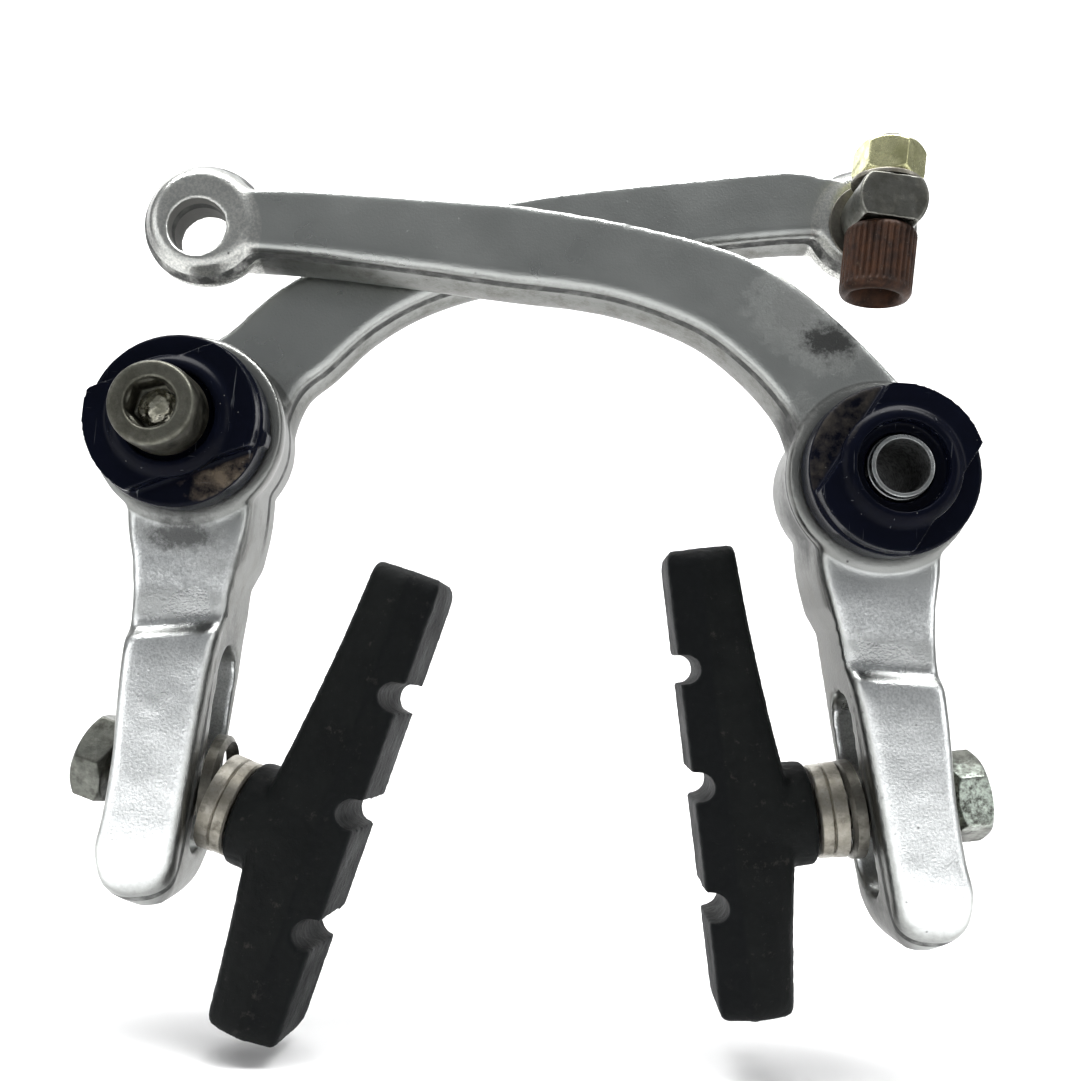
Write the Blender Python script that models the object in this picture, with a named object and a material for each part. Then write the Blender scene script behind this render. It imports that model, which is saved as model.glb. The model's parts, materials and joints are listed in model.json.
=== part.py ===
"""U-brake caliper: two forged arms that cross like scissors, their pivot hardware, pads and cable anchor.

Metres, +Z up, front towards -Y. The origin is midway between the two pivots, on the plane where the
pivot sleeves seat on the frame bosses (y = 0). Every length below is in millimetres.
"""

import math

import bmesh
import bpy
from mathutils import Matrix, Vector

MM = 0.001
NAME = "crossing_arm_u_brake"

# pivots
PIVOT_HALF = 43.0
BOSS_FIT_R = 4.05
SLEEVE_R = 5.0
SLEEVE_FLANGE_R = 7.0
NECK_R = 4.0
BOLT_WAY_R = 3.2
SLEEVE_SHOULDER_Y = -15.4
SLEEVE_END_Y = -23.1

# arms
ARM_BACK_Y = -0.8
BOSS_R = 11.8
BOSS_BACK_R = 10.4
BOSS_LIP_Y = -16.2
ARM_BORE_R = 5.2
SPRING_WELL_R = 8.4
SPRING_WELL_Y = -7.0
FRONT_ARM_Y = (-15.8, -8.0)
REAR_ARM_Y = (-7.6, -1.05)
EDGE_BEVEL = 1.45
REAR_ARM_TURN = 7.7
FRONT_EYE = (87.3, 25.65)
REAR_EYE = (89.9, 23.8)
ANCHOR_LEAN = 4.3
FRONT_EYE_Y = (-15.9, -9.9)
REAR_EYE_Y = (-7.85, -0.85)
EYE_R = 7.4
EYE_BODY_SHIFT = (-0.4, 0.9)
EYE_FACE_R = 5.9
EYE_HOLE_R = 3.6
POST_HOLE_R = 3.15
LEG_BACK_Y = -0.95
LEG_TILT = 10.4
SLOT_MID = (-4.5, -38.7)
SLOT_Y = -7.6
SLOT_WIDTH = 8.2
SLOT_LENGTH = 26.0
TRACK_X = (-4.55, 4.75)
TRACK_FRONT_Y = -14.2
TRACK_HALF = 20.5

# stations of the upper arms, pivot to eyelet: upper edge, then lower edge, as (inwards, up) of the pivot
FRONT_STATIONS = (
    ((-4.0, 10.0), (9.0, -4.0)), ((4.7, 18.3), (11.3, 5.2)), ((11.2, 23.4), (13.6, 8.8)),
    ((17.7, 26.9), (17.5, 12.6)), ((24.1, 28.7), (22.6, 16.2)), ((30.6, 29.9), (28.5, 18.5)),
    ((37.0, 30.8), (35.2, 20.1)), ((49.7, 31.8), (49.0, 21.0)), ((62.4, 31.9), (62.0, 21.9)),
    ((76.0, 31.7), (76.0, 22.5)), ((84.0, 31.2), (84.0, 22.4)),
)
REAR_STATIONS = (
    ((-4.0, 10.0), (9.0, -4.0)), ((3.8, 15.0), (12.4, 5.0)), ((9.5, 19.6), (16.5, 8.3)),
    ((17.0, 23.6), (22.0, 12.9)), ((25.0, 26.6), (28.0, 16.2)), ((33.0, 28.9), (35.0, 18.4)),
    ((42.0, 30.5), (42.5, 19.6)), ((54.0, 31.5), (54.0, 20.8)), ((67.5, 32.1), (67.5, 21.8)),
    ((79.0, 32.5), (79.0, 22.3)), ((86.5, 31.0), (86.5, 22.0)),
)
# stations of a leg, top to bottom: height, inner side, outer side (both inwards of the pivot), front, corner
LEG_STATIONS = (
    (-4.0, 8.0, -8.0, -15.6, 1.2), (-12.0, 7.0, -7.9, -15.6, 1.2), (-16.0, 5.9, -7.4, -15.9, 1.2),
    (-20.0, 4.7, -7.5, -15.8, 1.2), (-23.6, 3.8, -8.0, -15.5, 1.2), (-25.6, 3.2, -8.3, -17.2, 1.5),
    (-32.0, 1.6, -9.1, -17.6, 1.5), (-39.0, 0.0, -9.9, -17.6, 1.5), (-46.0, -1.5, -11.3, -17.6, 1.6),
    (-50.0, -2.4, -12.3, -17.4, 1.6), (-53.5, -3.3, -12.1, -16.4, 1.8), (-56.0, -4.6, -10.8, -14.2, 2.2),
    (-57.4, -6.2, -8.8, -11.8, 1.0),
)

# spring caps
CAP_R = 10.45
CAP_BACK_Y = -16.5
CAP_STEP_Y = -20.6
CAP_BAR_Y = -22.8
CAP_LIP_Y = -23.6
CAP_BAR_HALF = 6.5
CAP_RECESS_R = 5.5
CAP_RECESS_Y = -21.9
CAP_WELL_R = 7.6
CAP_WELL_Y = -19.3
CAP_SKIRT_R = 8.1
CAP_SKIRT_Y = -15.1
RIGHT_CAP_TURN = 30.0
LEFT_CAP_TURN = 65.5
CAP_NUB_AT = 57.6

# return springs
SPRING_WIRE_R = 0.8
SPRING_COIL_R = 6.2
SPRING_TURNS = 3.0
SPRING_BACK_Y = -7.9
SPRING_FRONT_Y = -18.3
SPRING_TAIL = 2.2

# pivot bolt
BOLT_HEAD_R = 5.0
BOLT_HEAD_Y = (-29.4, -23.25)
BOLT_SHANK_R = 2.95
BOLT_END_Y = -9.0
HEX_KEY_AF = 5.0

# pads and their clamps, along the stud: 0 is mid-leg, negative is towards the rim
PAD_LENGTH = 57.9
PAD_BELOW_STUD = 23.3
PAD_FACE_X = -24.9
PAD_DEPTH = 14.55
PAD_FACE_HALF = 5.5
PAD_RIDGE_HALF = 7.0
PAD_BACK_HALF = 6.3
PAD_RIDGE_IN = 3.9
PAD_BOSS_R = 6.4
PAD_CORNER = 3.0
NOTCH_R = 1.8
NOTCH_DEPTH = 2.6
NOTCH_HEIGHTS = (-15.1, -0.6, 13.9)
STUD_R = 2.8
STUD_HEAD_R = 4.6
STUD_HEAD_X = (-18.8, -17.0)
STUD_END_X = 11.2
SEAT_X = (-4.75, 4.95)
INNER_DOME = (10.0, 1.9, 5.4, 6.2)
OUTER_DOME = (12.0, -5.4, 4.3, 5.9)
WASHER_GAP = 0.3
COLLAR_X = -10.0
COLLAR_R = 5.95
NUT_AF = 10.0
NUT_X = (7.1, 11.4)
RIGHT_PAD = {"slide": -1.8, "tilt": 9.8, "yaw": -3.0}
LEFT_PAD = {"slide": -4.3, "tilt": 23.0, "yaw": -7.5}

# cable anchor, about the post axis
POST_R = 2.8
POST_HEAD_R = 4.45
POST_HEAD_Y = (-17.7, -8.8)
POST_FLAT = 2.85
POST_TAIL_Y = 0.9
CROSS_HOLE_R = 2.65
ANCHOR_WASHER = (5.7, -8.5, -8.0)
RETAINER = (4.5, -0.65, 0.3)
TUBE_R = 2.4
TUBE_WAY_R = 1.2
TUBE_Z = (-7.0, 9.8)
BARREL_R = 4.55
BARREL_Z = (-12.1, -3.05)
BARREL_SOCKET = (3.1, 4.7)
BARREL_BORE_R = 2.6
LOCK_WASHER_Z = (3.05, 3.6)
LOCK_WASHER_R = 4.5
LOCK_NUT_Z = (3.75, 8.9)
LOCK_NUT_AF = 8.0

ROUND = 32
SMALL_ROUND = 24


def clear_scene():
    for obj in list(bpy.data.objects):
        bpy.data.objects.remove(obj, do_unlink=True)


def new_collection(name, hidden=False):
    made = bpy.data.collections.new(name)
    bpy.context.scene.collection.children.link(made)
    made.hide_render = hidden
    return made


def material(name, colour, roughness, metallic):
    made = bpy.data.materials.new(name)
    made.use_nodes = True
    shader = made.node_tree.nodes["Principled BSDF"]
    shader.inputs["Base Color"].default_value = (*colour, 1.0)
    shader.inputs["Roughness"].default_value = roughness
    shader.inputs["Metallic"].default_value = metallic
    return made


def object_of(bm, name):
    """A node or a helper from a bmesh in millimetres."""
    bmesh.ops.remove_doubles(bm, verts=bm.verts, dist=1e-4)
    bmesh.ops.recalc_face_normals(bm, faces=bm.faces)
    bmesh.ops.scale(bm, vec=(MM, MM, MM), verts=bm.verts)
    mesh = bpy.data.meshes.new(name)
    bm.to_mesh(mesh)
    bm.free()
    return bpy.data.objects.new(name, mesh)


def lathe(name, profile, steps=ROUND, axis="Y"):
    """A closed (radius, along) profile turned about the axis."""
    bm = bmesh.new()
    along = {"X": 0, "Y": 1, "Z": 2}[axis]
    out = (along + 1) % 3
    points = []
    for radius, at in profile:
        co = [0.0, 0.0, 0.0]
        co[out], co[along] = radius, at
        points.append(bm.verts.new(co))
    edges = [bm.edges.new((points[i - 1], points[i])) for i in range(len(points))]
    turn = [0.0, 0.0, 0.0]
    turn[along] = 1.0
    bmesh.ops.spin(bm, geom=points + edges, cent=(0, 0, 0), axis=turn, angle=2 * math.pi, steps=steps)
    bmesh.ops.remove_doubles(bm, verts=bm.verts, dist=1e-4)
    loose = [e for e in bm.edges if not e.link_faces]
    bmesh.ops.delete(bm, geom=loose, context="EDGES")
    return object_of(bm, name)


def drum(name, radius, low, high, axis="Y", steps=ROUND):
    return lathe(name, ((0, low), (radius, low), (radius, high), (0, high)), steps, axis)


def prism(name, outline, low, high, axis="Y"):
    """A flat outline of (first, second) points, pushed along the axis from low to high."""
    bm = bmesh.new()
    along = {"X": 0, "Y": 1, "Z": 2}[axis]
    others = [i for i in range(3) if i != along]
    points = []
    for a, b in outline:
        co = [0.0, 0.0, 0.0]
        co[others[0]], co[others[1]], co[along] = a, b, low
        points.append(bm.verts.new(co))
    face = bm.faces.new(points)
    pushed = bmesh.ops.extrude_face_region(bm, geom=[face])
    shift = [0.0, 0.0, 0.0]
    shift[along] = high - low
    moved = [v for v in pushed["geom"] if isinstance(v, bmesh.types.BMVert)]
    bmesh.ops.translate(bm, vec=shift, verts=moved)
    return object_of(bm, name)


def loft(name, rings):
    """A skin over rings of equal point counts, closed at both ends."""
    bm = bmesh.new()
    rows = [[bm.verts.new(point) for point in ring] for ring in rings]
    count = len(rows[0])
    for a, b in zip(rows, rows[1:]):
        for i in range(count):
            bm.faces.new((a[i - 1], a[i], b[i], b[i - 1]))
    bm.faces.new(rows[0])
    bm.faces.new(rows[-1])
    return object_of(bm, name)


def polygon(sides, across_flats, start=0.0):
    corner = across_flats / 2 / math.cos(math.pi / sides)
    turns = [start + 2 * math.pi * i / sides for i in range(sides)]
    return [(corner * math.cos(t), corner * math.sin(t)) for t in turns]


def slot_outline(half_length, half_width, steps=10):
    """A slot with round ends, long in its second direction."""
    points = []
    for end in (1, -1):
        for i in range(steps + 1):
            t = math.pi * i / steps
            points.append((end * half_width * math.cos(t),
                           end * (half_length - half_width + half_width * math.sin(t))))
    return points


def chord_outline(radius, half, steps=10):
    """A disc with two parallel sides cut off."""
    reach = math.acos(half / radius)
    points = []
    for start in (math.pi / 2, -math.pi / 2):
        low, high = start - (math.pi / 2 - reach), start + (math.pi / 2 - reach)
        points += [(radius * math.cos(low + (high - low) * i / steps),
                    radius * math.sin(low + (high - low) * i / steps)) for i in range(steps + 1)]
    return points


def combine(obj, other, operation):
    """Unites with, cuts by or keeps what is common with a helper, which goes to the hidden collection."""
    cutters.objects.link(other)
    other.display_type = "WIRE"
    other.hide_render = True
    other.parent = obj.parent if other.parent is None else other.parent
    step = obj.modifiers.new(f"{operation.lower()}_{other.name}"[:60], "BOOLEAN")
    step.operation = operation
    step.solver = "EXACT"
    step.object = other


def place(obj, parent=None, look=None):
    parts.objects.link(obj)
    obj.parent = parent
    if look:
        obj.data.materials.append(look)
    return obj


def pose(obj, location=(0, 0, 0), turn=None):
    obj.location = Vector(location) * MM
    if turn is not None:
        obj.rotation_euler = turn.to_euler()
    return obj


def axis_empty(name, location, turn=None, parent=None):
    made = bpy.data.objects.new(name, None)
    made.empty_display_size = 0.005
    parts.objects.link(made)
    made.parent = parent
    return pose(made, location, turn)


def turn_y(degrees):
    return Matrix.Rotation(math.radians(degrees), 4, "Y")


def turn_z(degrees):
    return Matrix.Rotation(math.radians(degrees), 4, "Z")


# arms


def arm_section(upper, lower, depth, side):
    """One station of an upper arm: flat front face, bevelled lower front edge, drafted lower side."""
    front, back = depth
    top, low = Vector(upper), Vector(lower)
    across = (top - low).normalized()
    draft = 0.7

    def at(point, y):
        return Vector((-side * point.x, y, point.y))

    return [
        at(top - across * 0.4, front), at(low + across * (draft + EDGE_BEVEL), front),
        at(low + across * draft, front + 1.3), at(low, back - 1.2), at(low + across * 0.9, back),
        at(top - across * 0.9, back), at(top, back - 1.0), at(top, front + 0.4),
    ]


def upper_arm(name, stations, depth, side):
    return loft(name, [arm_section(a, b, depth, side) for a, b in stations])


def leg_section(z, inner, outer, front, corner, side):
    a, b, c = inner, outer, corner
    back = LEG_BACK_Y
    if z < -53:
        back -= (-53 - z) * 0.45
    ring = [(a - c, front), (b + c, front), (b, front + c), (b, back - 1.5), (b + 1.5, back),
            (a - 1.5, back), (a, back - 1.5), (a, front + c)]
    return [Vector((-side * u, y, z)) for u, y in ring]


def leg(name, side):
    return loft(name, [leg_section(*station, side) for station in LEG_STATIONS])


def eyelet(name, centre, span, side):
    front, back = span
    middle = (front + back) / 2
    profile = ((0, front), (EYE_FACE_R - 0.5, front), (EYE_FACE_R, front + 0.35), (EYE_R - 0.4, middle - 1.4),
               (EYE_R, middle), (EYE_R - 0.4, middle + 1.4), (EYE_FACE_R, back), (0, back))
    inwards, up = EYE_BODY_SHIFT
    return pose(lathe(name, profile, 32), (-side * (centre[0] + inwards), 0, centre[1] + up))


def make_arm(name, side, parent, stations, depth, eye, eye_span, hole_r):
    boss = ((0, ARM_BACK_Y), (BOSS_BACK_R - 0.6, ARM_BACK_Y), (BOSS_BACK_R, ARM_BACK_Y - 0.6),
            (BOSS_BACK_R + 0.3, BOSS_LIP_Y + 6.0), (BOSS_R, BOSS_LIP_Y + 2.0), (BOSS_R, BOSS_LIP_Y + 0.5),
            (BOSS_R - 0.5, BOSS_LIP_Y), (0, BOSS_LIP_Y))
    arm = place(lathe(name, boss, 40), parent, arm_alloy)
    combine(arm, upper_arm(name + "_upper", stations, depth, side), "UNION")
    combine(arm, leg(name + "_leg", side), "UNION")
    combine(arm, eyelet(name + "_eye", eye, eye_span, side), "UNION")
    combine(arm, drum(name + "_bore", ARM_BORE_R, -30, 5), "DIFFERENCE")
    combine(arm, drum(name + "_well", SPRING_WELL_R, -30, SPRING_WELL_Y), "DIFFERENCE")
    hole = drum(name + "_eye_hole", hole_r, -30, 5, steps=SMALL_ROUND)
    combine(arm, pose(hole, (-side * eye[0], 0, eye[1])), "DIFFERENCE")
    slot = prism(name + "_slot", [(b, c) for b, c in slot_outline(SLOT_LENGTH / 2, SLOT_WIDTH / 2)],
                 -14, 14, "X")
    spot = (-side * SLOT_MID[0], SLOT_Y, SLOT_MID[1])
    combine(arm, pose(slot, spot, turn_y(-side * LEG_TILT)), "DIFFERENCE")
    half, front = TRACK_HALF, TRACK_FRONT_Y
    for word, low, high in (("in", -12, TRACK_X[0]), ("out", TRACK_X[1], 12)):
        track = prism(f"{name}_track_{word}", [(front - SLOT_Y, -half), (9, -half), (9, half),
                                               (front - SLOT_Y, half)], side * low, side * high, "X")
        combine(arm, pose(track, spot, turn_y(-side * LEG_TILT)), "DIFFERENCE")
    tail = drum(name + "_tail_hole", 1.15, SPRING_WELL_Y - 1, SPRING_WELL_Y + 3.2, steps=12)
    combine(arm, pose(tail, (-side * SPRING_COIL_R, 0, 0)), "DIFFERENCE")
    return arm


# pivot hardware


def make_sleeve(name, parent):
    profile = ((BOSS_FIT_R, 0), (SLEEVE_FLANGE_R, 0), (SLEEVE_FLANGE_R, -0.6), (SLEEVE_R, -0.6),
               (SLEEVE_R, SLEEVE_SHOULDER_Y), (NECK_R, SLEEVE_SHOULDER_Y), (NECK_R, SLEEVE_END_Y + 0.3),
               (NECK_R - 0.3, SLEEVE_END_Y), (BOLT_WAY_R, SLEEVE_END_Y), (BOLT_WAY_R, SLEEVE_SHOULDER_Y - 0.8),
               (BOSS_FIT_R, SLEEVE_SHOULDER_Y - 0.8))
    return place(lathe(name, profile, ROUND), parent, sleeve_steel)


def make_cap(name, parent, turn, tail_at):
    """A spring-tension cap: flange, raised bar between two wrench flats, lipped recess for the bolt head."""
    profile = ((0, CAP_BACK_Y), (CAP_R, CAP_BACK_Y), (CAP_R, CAP_STEP_Y + 0.4), (CAP_R - 0.4, CAP_STEP_Y),
               (0, CAP_STEP_Y))
    cap = place(lathe(name, profile, 44), parent, cap_plastic)
    combine(cap, prism(name + "_bar", chord_outline(CAP_R - 0.35, CAP_BAR_HALF, 14), CAP_STEP_Y + 1, CAP_BAR_Y),
            "UNION")
    lip = lathe(name + "_lip", ((0, CAP_BAR_Y + 1), (7.0, CAP_BAR_Y + 1), (7.0, CAP_BAR_Y - 0.05),
                                (6.2, CAP_LIP_Y), (0, CAP_LIP_Y)), ROUND)
    bar_clip = prism(name + "_lip_clip", chord_outline(CAP_R - 0.6, CAP_BAR_HALF - 0.1, 8), -30, -10)
    combine(lip, bar_clip, "INTERSECT")
    combine(cap, lip, "UNION")
    skirt = lathe(name + "_skirt", ((7.0, CAP_BACK_Y - 0.5), (CAP_SKIRT_R, CAP_BACK_Y - 0.5),
                                    (CAP_SKIRT_R, CAP_SKIRT_Y), (7.0, CAP_SKIRT_Y)), ROUND)
    combine(cap, skirt, "UNION")
    combine(cap, drum(name + "_well", CAP_WELL_R, CAP_WELL_Y, 0), "DIFFERENCE")
    combine(cap, drum(name + "_bore", NECK_R + 0.2, -30, 0), "DIFFERENCE")
    combine(cap, drum(name + "_recess", CAP_RECESS_R, -30, CAP_RECESS_Y), "DIFFERENCE")
    tail = drum(name + "_tail_hole", 1.15, CAP_WELL_Y - 0.9, CAP_WELL_Y + 2, steps=12)
    t = math.radians(tail_at + turn)
    combine(cap, pose(tail, (SPRING_COIL_R * math.cos(t), 0, SPRING_COIL_R * math.sin(t))), "DIFFERENCE")
    nub = prism(name + "_nub", [(CAP_R - 1.0, -0.9), (CAP_R + 0.5, -0.9), (CAP_R + 0.5, 0.9), (CAP_R - 1.0, 0.9)],
                CAP_STEP_Y + 0.5, CAP_BACK_Y - 1)
    combine(cap, pose(nub, (0, 0, 0), turn_y(-CAP_NUB_AT)), "UNION")
    cap.rotation_euler = turn_y(turn).to_euler()
    for helper in (m.object for m in cap.modifiers):
        helper.parent = cap
    bar_clip.parent = cap
    return cap


def spring_points(side, start):
    """Centre line of a return spring: tail in the arm, coil, tail in the cap."""
    steps = int(SPRING_TURNS * 14)
    points = []
    first = start
    for i in range(steps + 1):
        t = first + side * 2 * math.pi * SPRING_TURNS * i / steps
        y = SPRING_BACK_Y + (SPRING_FRONT_Y - SPRING_BACK_Y) * i / steps
        points.append(Vector((SPRING_COIL_R * math.cos(t), y, SPRING_COIL_R * math.sin(t))))
    head = points[0] + Vector((0, SPRING_TAIL, 0))
    tail = points[-1] + Vector((0, -1.6, 0))
    return [head] + points + [tail]


def make_spring(name, parent, side, start):
    curve = bpy.data.curves.new(name, "CURVE")
    curve.dimensions = "3D"
    curve.bevel_depth = SPRING_WIRE_R * MM
    curve.bevel_resolution = 2
    curve.use_fill_caps = True
    points = spring_points(side, start)
    line = curve.splines.new("POLY")
    line.points.add(len(points) - 1)
    for slot, point in zip(line.points, points):
        slot.co = (*(point * MM), 1.0)
    return place(bpy.data.objects.new(name, curve), parent, spring_steel)


def make_bolt(name, parent):
    low, high = BOLT_HEAD_Y
    profile = ((0, low), (BOLT_HEAD_R - 0.9, low), (BOLT_HEAD_R, low + 0.9), (BOLT_HEAD_R, high),
               (BOLT_SHANK_R, high), (BOLT_SHANK_R, BOLT_END_Y - 0.6), (BOLT_SHANK_R - 0.6, BOLT_END_Y),
               (0, BOLT_END_Y))
    bolt = place(lathe(name, profile, ROUND), parent, bolt_zinc)
    socket = prism(name + "_socket", polygon(6, HEX_KEY_AF, 0.3), low - 1, low + 3.2)
    combine(bolt, socket, "DIFFERENCE")
    return bolt


# pads


def pad_back(z):
    """Depth of the pad behind its braking face at a height above the stud."""
    if z > 0:
        return 8.9 + 3.4 * max(0.0, 1.0 - z / 36.0) ** 1.6
    return 8.6 + 3.7 * max(0.0, 1.0 + z / 30.0) ** 1.4


def pad_section(z, end_round):
    s = end_round
    face, ridge, rear = PAD_FACE_HALF * s, PAD_RIDGE_HALF * s, PAD_BACK_HALF * s
    depth = pad_back(z)
    front_in = (1 - s) * 2.2
    ring = [(front_in, -face), (PAD_RIDGE_IN, -ridge), (depth - 1.2, -rear), (depth, -rear + 1.3),
            (depth, rear - 1.3), (depth - 1.2, rear), (PAD_RIDGE_IN, ridge), (front_in, face)]
    return [Vector((PAD_FACE_X + x, y, z)) for x, y in ring]


def pad_heights():
    low, high = -PAD_BELOW_STUD, PAD_LENGTH - PAD_BELOW_STUD
    heights = [(low, 0.72), (low + 0.7, 0.88), (low + 2.2, 1.0)]
    steps = 9
    span = (high - 2.2) - (low + 2.2)
    heights += [(low + 2.2 + span * i / steps, 1.0) for i in range(1, steps)]
    return heights + [(high - 2.2, 1.0), (high - 0.7, 0.88), (high, 0.72)]


def make_pad(name, parent):
    pad = loft(name, [pad_section(z, s) for z, s in pad_heights()])
    place(pad, parent, pad_rubber)
    rear = PAD_FACE_X + PAD_DEPTH
    boss = lathe(name + "_boss", ((0, rear), (PAD_BOSS_R - 0.4, rear), (PAD_BOSS_R, rear - 0.5),
                                  (PAD_BOSS_R + 0.2, PAD_FACE_X + 7), (0, PAD_FACE_X + 7)), 32, "X")
    combine(pad, boss, "UNION")
    combine(pad, drum(name + "_stud_hole", STUD_R + 0.2, STUD_HEAD_X[0], 0, "X", SMALL_ROUND), "DIFFERENCE")
    low, high = STUD_HEAD_X
    combine(pad, drum(name + "_head_pocket", STUD_HEAD_R + 0.2, low - 0.3, high + 0.3, "X", SMALL_ROUND),
            "DIFFERENCE")
    outline = slot_outline(6.0, NOTCH_R, 8)
    for i, height in enumerate(NOTCH_HEIGHTS):
        turned = [(b, a) for a, b in outline]
        notch = prism(f"{name}_notch_{i}", turned, -12, 12)
        middle = (PAD_LENGTH / 2 - PAD_BELOW_STUD) + height
        combine(pad, pose(notch, (PAD_FACE_X + NOTCH_DEPTH - 6.0, 0, middle)), "DIFFERENCE")
    return pad


def make_stud(name, parent):
    low, high = STUD_HEAD_X
    profile = ((0, low), (STUD_HEAD_R, low), (STUD_HEAD_R, high), (STUD_R, high),
               (STUD_R, STUD_END_X - 0.5), (STUD_R - 0.5, STUD_END_X), (0, STUD_END_X))
    return place(lathe(name, profile, SMALL_ROUND, "X"), parent, stud_zinc)


def arc(centre, radius, start_r, end_r, sign, steps=3):
    """Points of a spherical face between two radii from the axis."""
    points = []
    for i in range(steps + 1):
        r = start_r + (end_r - start_r) * i / steps
        points.append((r, centre + sign * math.sqrt(radius ** 2 - r ** 2)))
    return points


def make_domed_washer(name, parent, dome, sign, look):
    """Flat on the leg, domed away from it."""
    radius, centre, hole, rim = dome
    seat = SEAT_X[sign > 0]
    profile = [(hole, seat), (rim, seat)] + arc(centre, radius, rim - 0.15, hole, sign)
    return place(lathe(name, profile, SMALL_ROUND, "X"), parent, look)


def make_dished_washer(name, parent, dome, sign, flat_x, rim, look):
    """Hollow to fit over the dome, flat on the other side."""
    radius, centre = dome[0] + WASHER_GAP, dome[1]
    hole = STUD_R + 0.25
    profile = [(hole, flat_x), (rim - 0.3, flat_x), (rim, flat_x - sign * 0.3)]
    profile += arc(centre, radius, rim, hole, sign)
    return place(lathe(name, profile, SMALL_ROUND, "X"), parent, look)


def make_nut(name, parent, across, span, bore, axis, look, edge=0.7, start=math.pi / 6):
    """A hexagon nut with both faces chamfered at the corners."""
    low, high = span
    nut = prism(name, polygon(6, across, start), low, high, axis)
    place(nut, parent, look)
    corner = across / 2 / math.cos(math.pi / 6)
    flat = across / 2 - 0.1
    shape = ((0, low - 0.01), (flat, low - 0.01), (corner + 0.05, low + edge), (corner + 0.05, high - edge),
             (flat, high + 0.01), (0, high + 0.01))
    combine(nut, lathe(name + "_chamfer", shape, 30, axis), "INTERSECT")
    combine(nut, drum(name + "_bore", bore, low - 2, high + 2, axis, SMALL_ROUND), "DIFFERENCE")
    return nut


def make_pad_group(word, arm_axis, side, setting):
    """Slot slider (domed washers), tilting holder (collar washer) and the pad on its stud."""
    tilt = math.radians(LEG_TILT)
    slide = setting["slide"]
    down = Vector((side * math.sin(tilt), 0, -math.cos(tilt)))
    spot = Vector((-side * SLOT_MID[0], SLOT_Y, SLOT_MID[1])) - down * slide
    facing = turn_z(0 if side > 0 else 180)
    mount = axis_empty(f"{word}_pad_mount", spot, facing @ turn_y(-LEG_TILT), arm_axis)
    lean = setting["tilt"] - LEG_TILT
    turn = turn_y(-lean) @ turn_z(setting["yaw"])
    centre = Vector((INNER_DOME[1], 0, 0))
    tilter = axis_empty(f"{word}_pad_tilt_axis", centre, turn, mount)
    holder = axis_empty(f"{word}_pad_holder", -centre, None, tilter)
    make_domed_washer(f"{word}_pad_inner_domed_washer", mount, INNER_DOME, -1, dark_washer)
    outer = make_domed_washer(f"{word}_pad_outer_domed_washer", mount, OUTER_DOME, 1, dark_washer)
    drift = turn @ Vector((SEAT_X[1] + 1.0 - centre.x, 0, 0))
    pose(outer, (0, drift.y, drift.z))
    make_dished_washer(f"{word}_pad_collar_washer", holder, INNER_DOME, -1, COLLAR_X, COLLAR_R, collar_silver)
    start = math.pi / 6 if side > 0 else 0.0
    make_nut(f"{word}_pad_nut", holder, NUT_AF, NUT_X, STUD_R + 0.15, "X", nut_zinc, start=start)
    make_stud(f"{word}_pad_stud", holder)
    make_pad(f"{word}_brake_pad", holder)


# cable anchor


def make_anchor(arm_axis, side):
    """The cable anchor on the rear arm's eyelet, standing plumb while the arm leans."""
    hub = axis_empty("anchor_axis", (-side * REAR_EYE[0], 0, REAR_EYE[1]), turn_y(REAR_ARM_TURN + ANCHOR_LEAN), arm_axis)
    low, high = POST_HEAD_Y
    profile = ((0, low), (POST_HEAD_R - 0.7, low), (POST_HEAD_R, low + 0.7), (POST_HEAD_R, high),
               (POST_R, high), (POST_R, POST_TAIL_Y - 0.5), (POST_R - 0.5, POST_TAIL_Y), (0, POST_TAIL_Y))
    post = place(lathe("anchor_post", profile, ROUND), hub, anchor_steel)
    for end in (1, -1):
        box = prism(f"anchor_post_flat_{'top' if end > 0 else 'low'}", [(-8, 0), (8, 0), (8, 6), (-8, 6)],
                    low - 2, high + 0.3)
        combine(post, pose(box, (0, 0, POST_FLAT if end > 0 else -POST_FLAT - 6)), "DIFFERENCE")
    middle = (low + high) / 2
    cross = drum("anchor_post_cross_hole", CROSS_HOLE_R, -12, 12, "Z", SMALL_ROUND)
    combine(post, pose(cross, (0, middle, 0)), "DIFFERENCE")
    radius, front, back = ANCHOR_WASHER
    bore = POST_R + 0.2
    place(lathe("anchor_washer", ((bore, front), (radius, front), (radius, back), (bore, back)), 36), hub,
          dark_washer)
    radius, front, back = RETAINER
    bore = POST_R + 0.12
    place(lathe("anchor_retaining_ring", ((bore, front), (radius, front), (radius, back), (bore, back)), 28),
          hub, dark_washer)
    stem = axis_empty("adjuster_axis", (0, middle, 0), None, hub)
    make_adjuster(stem)


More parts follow.
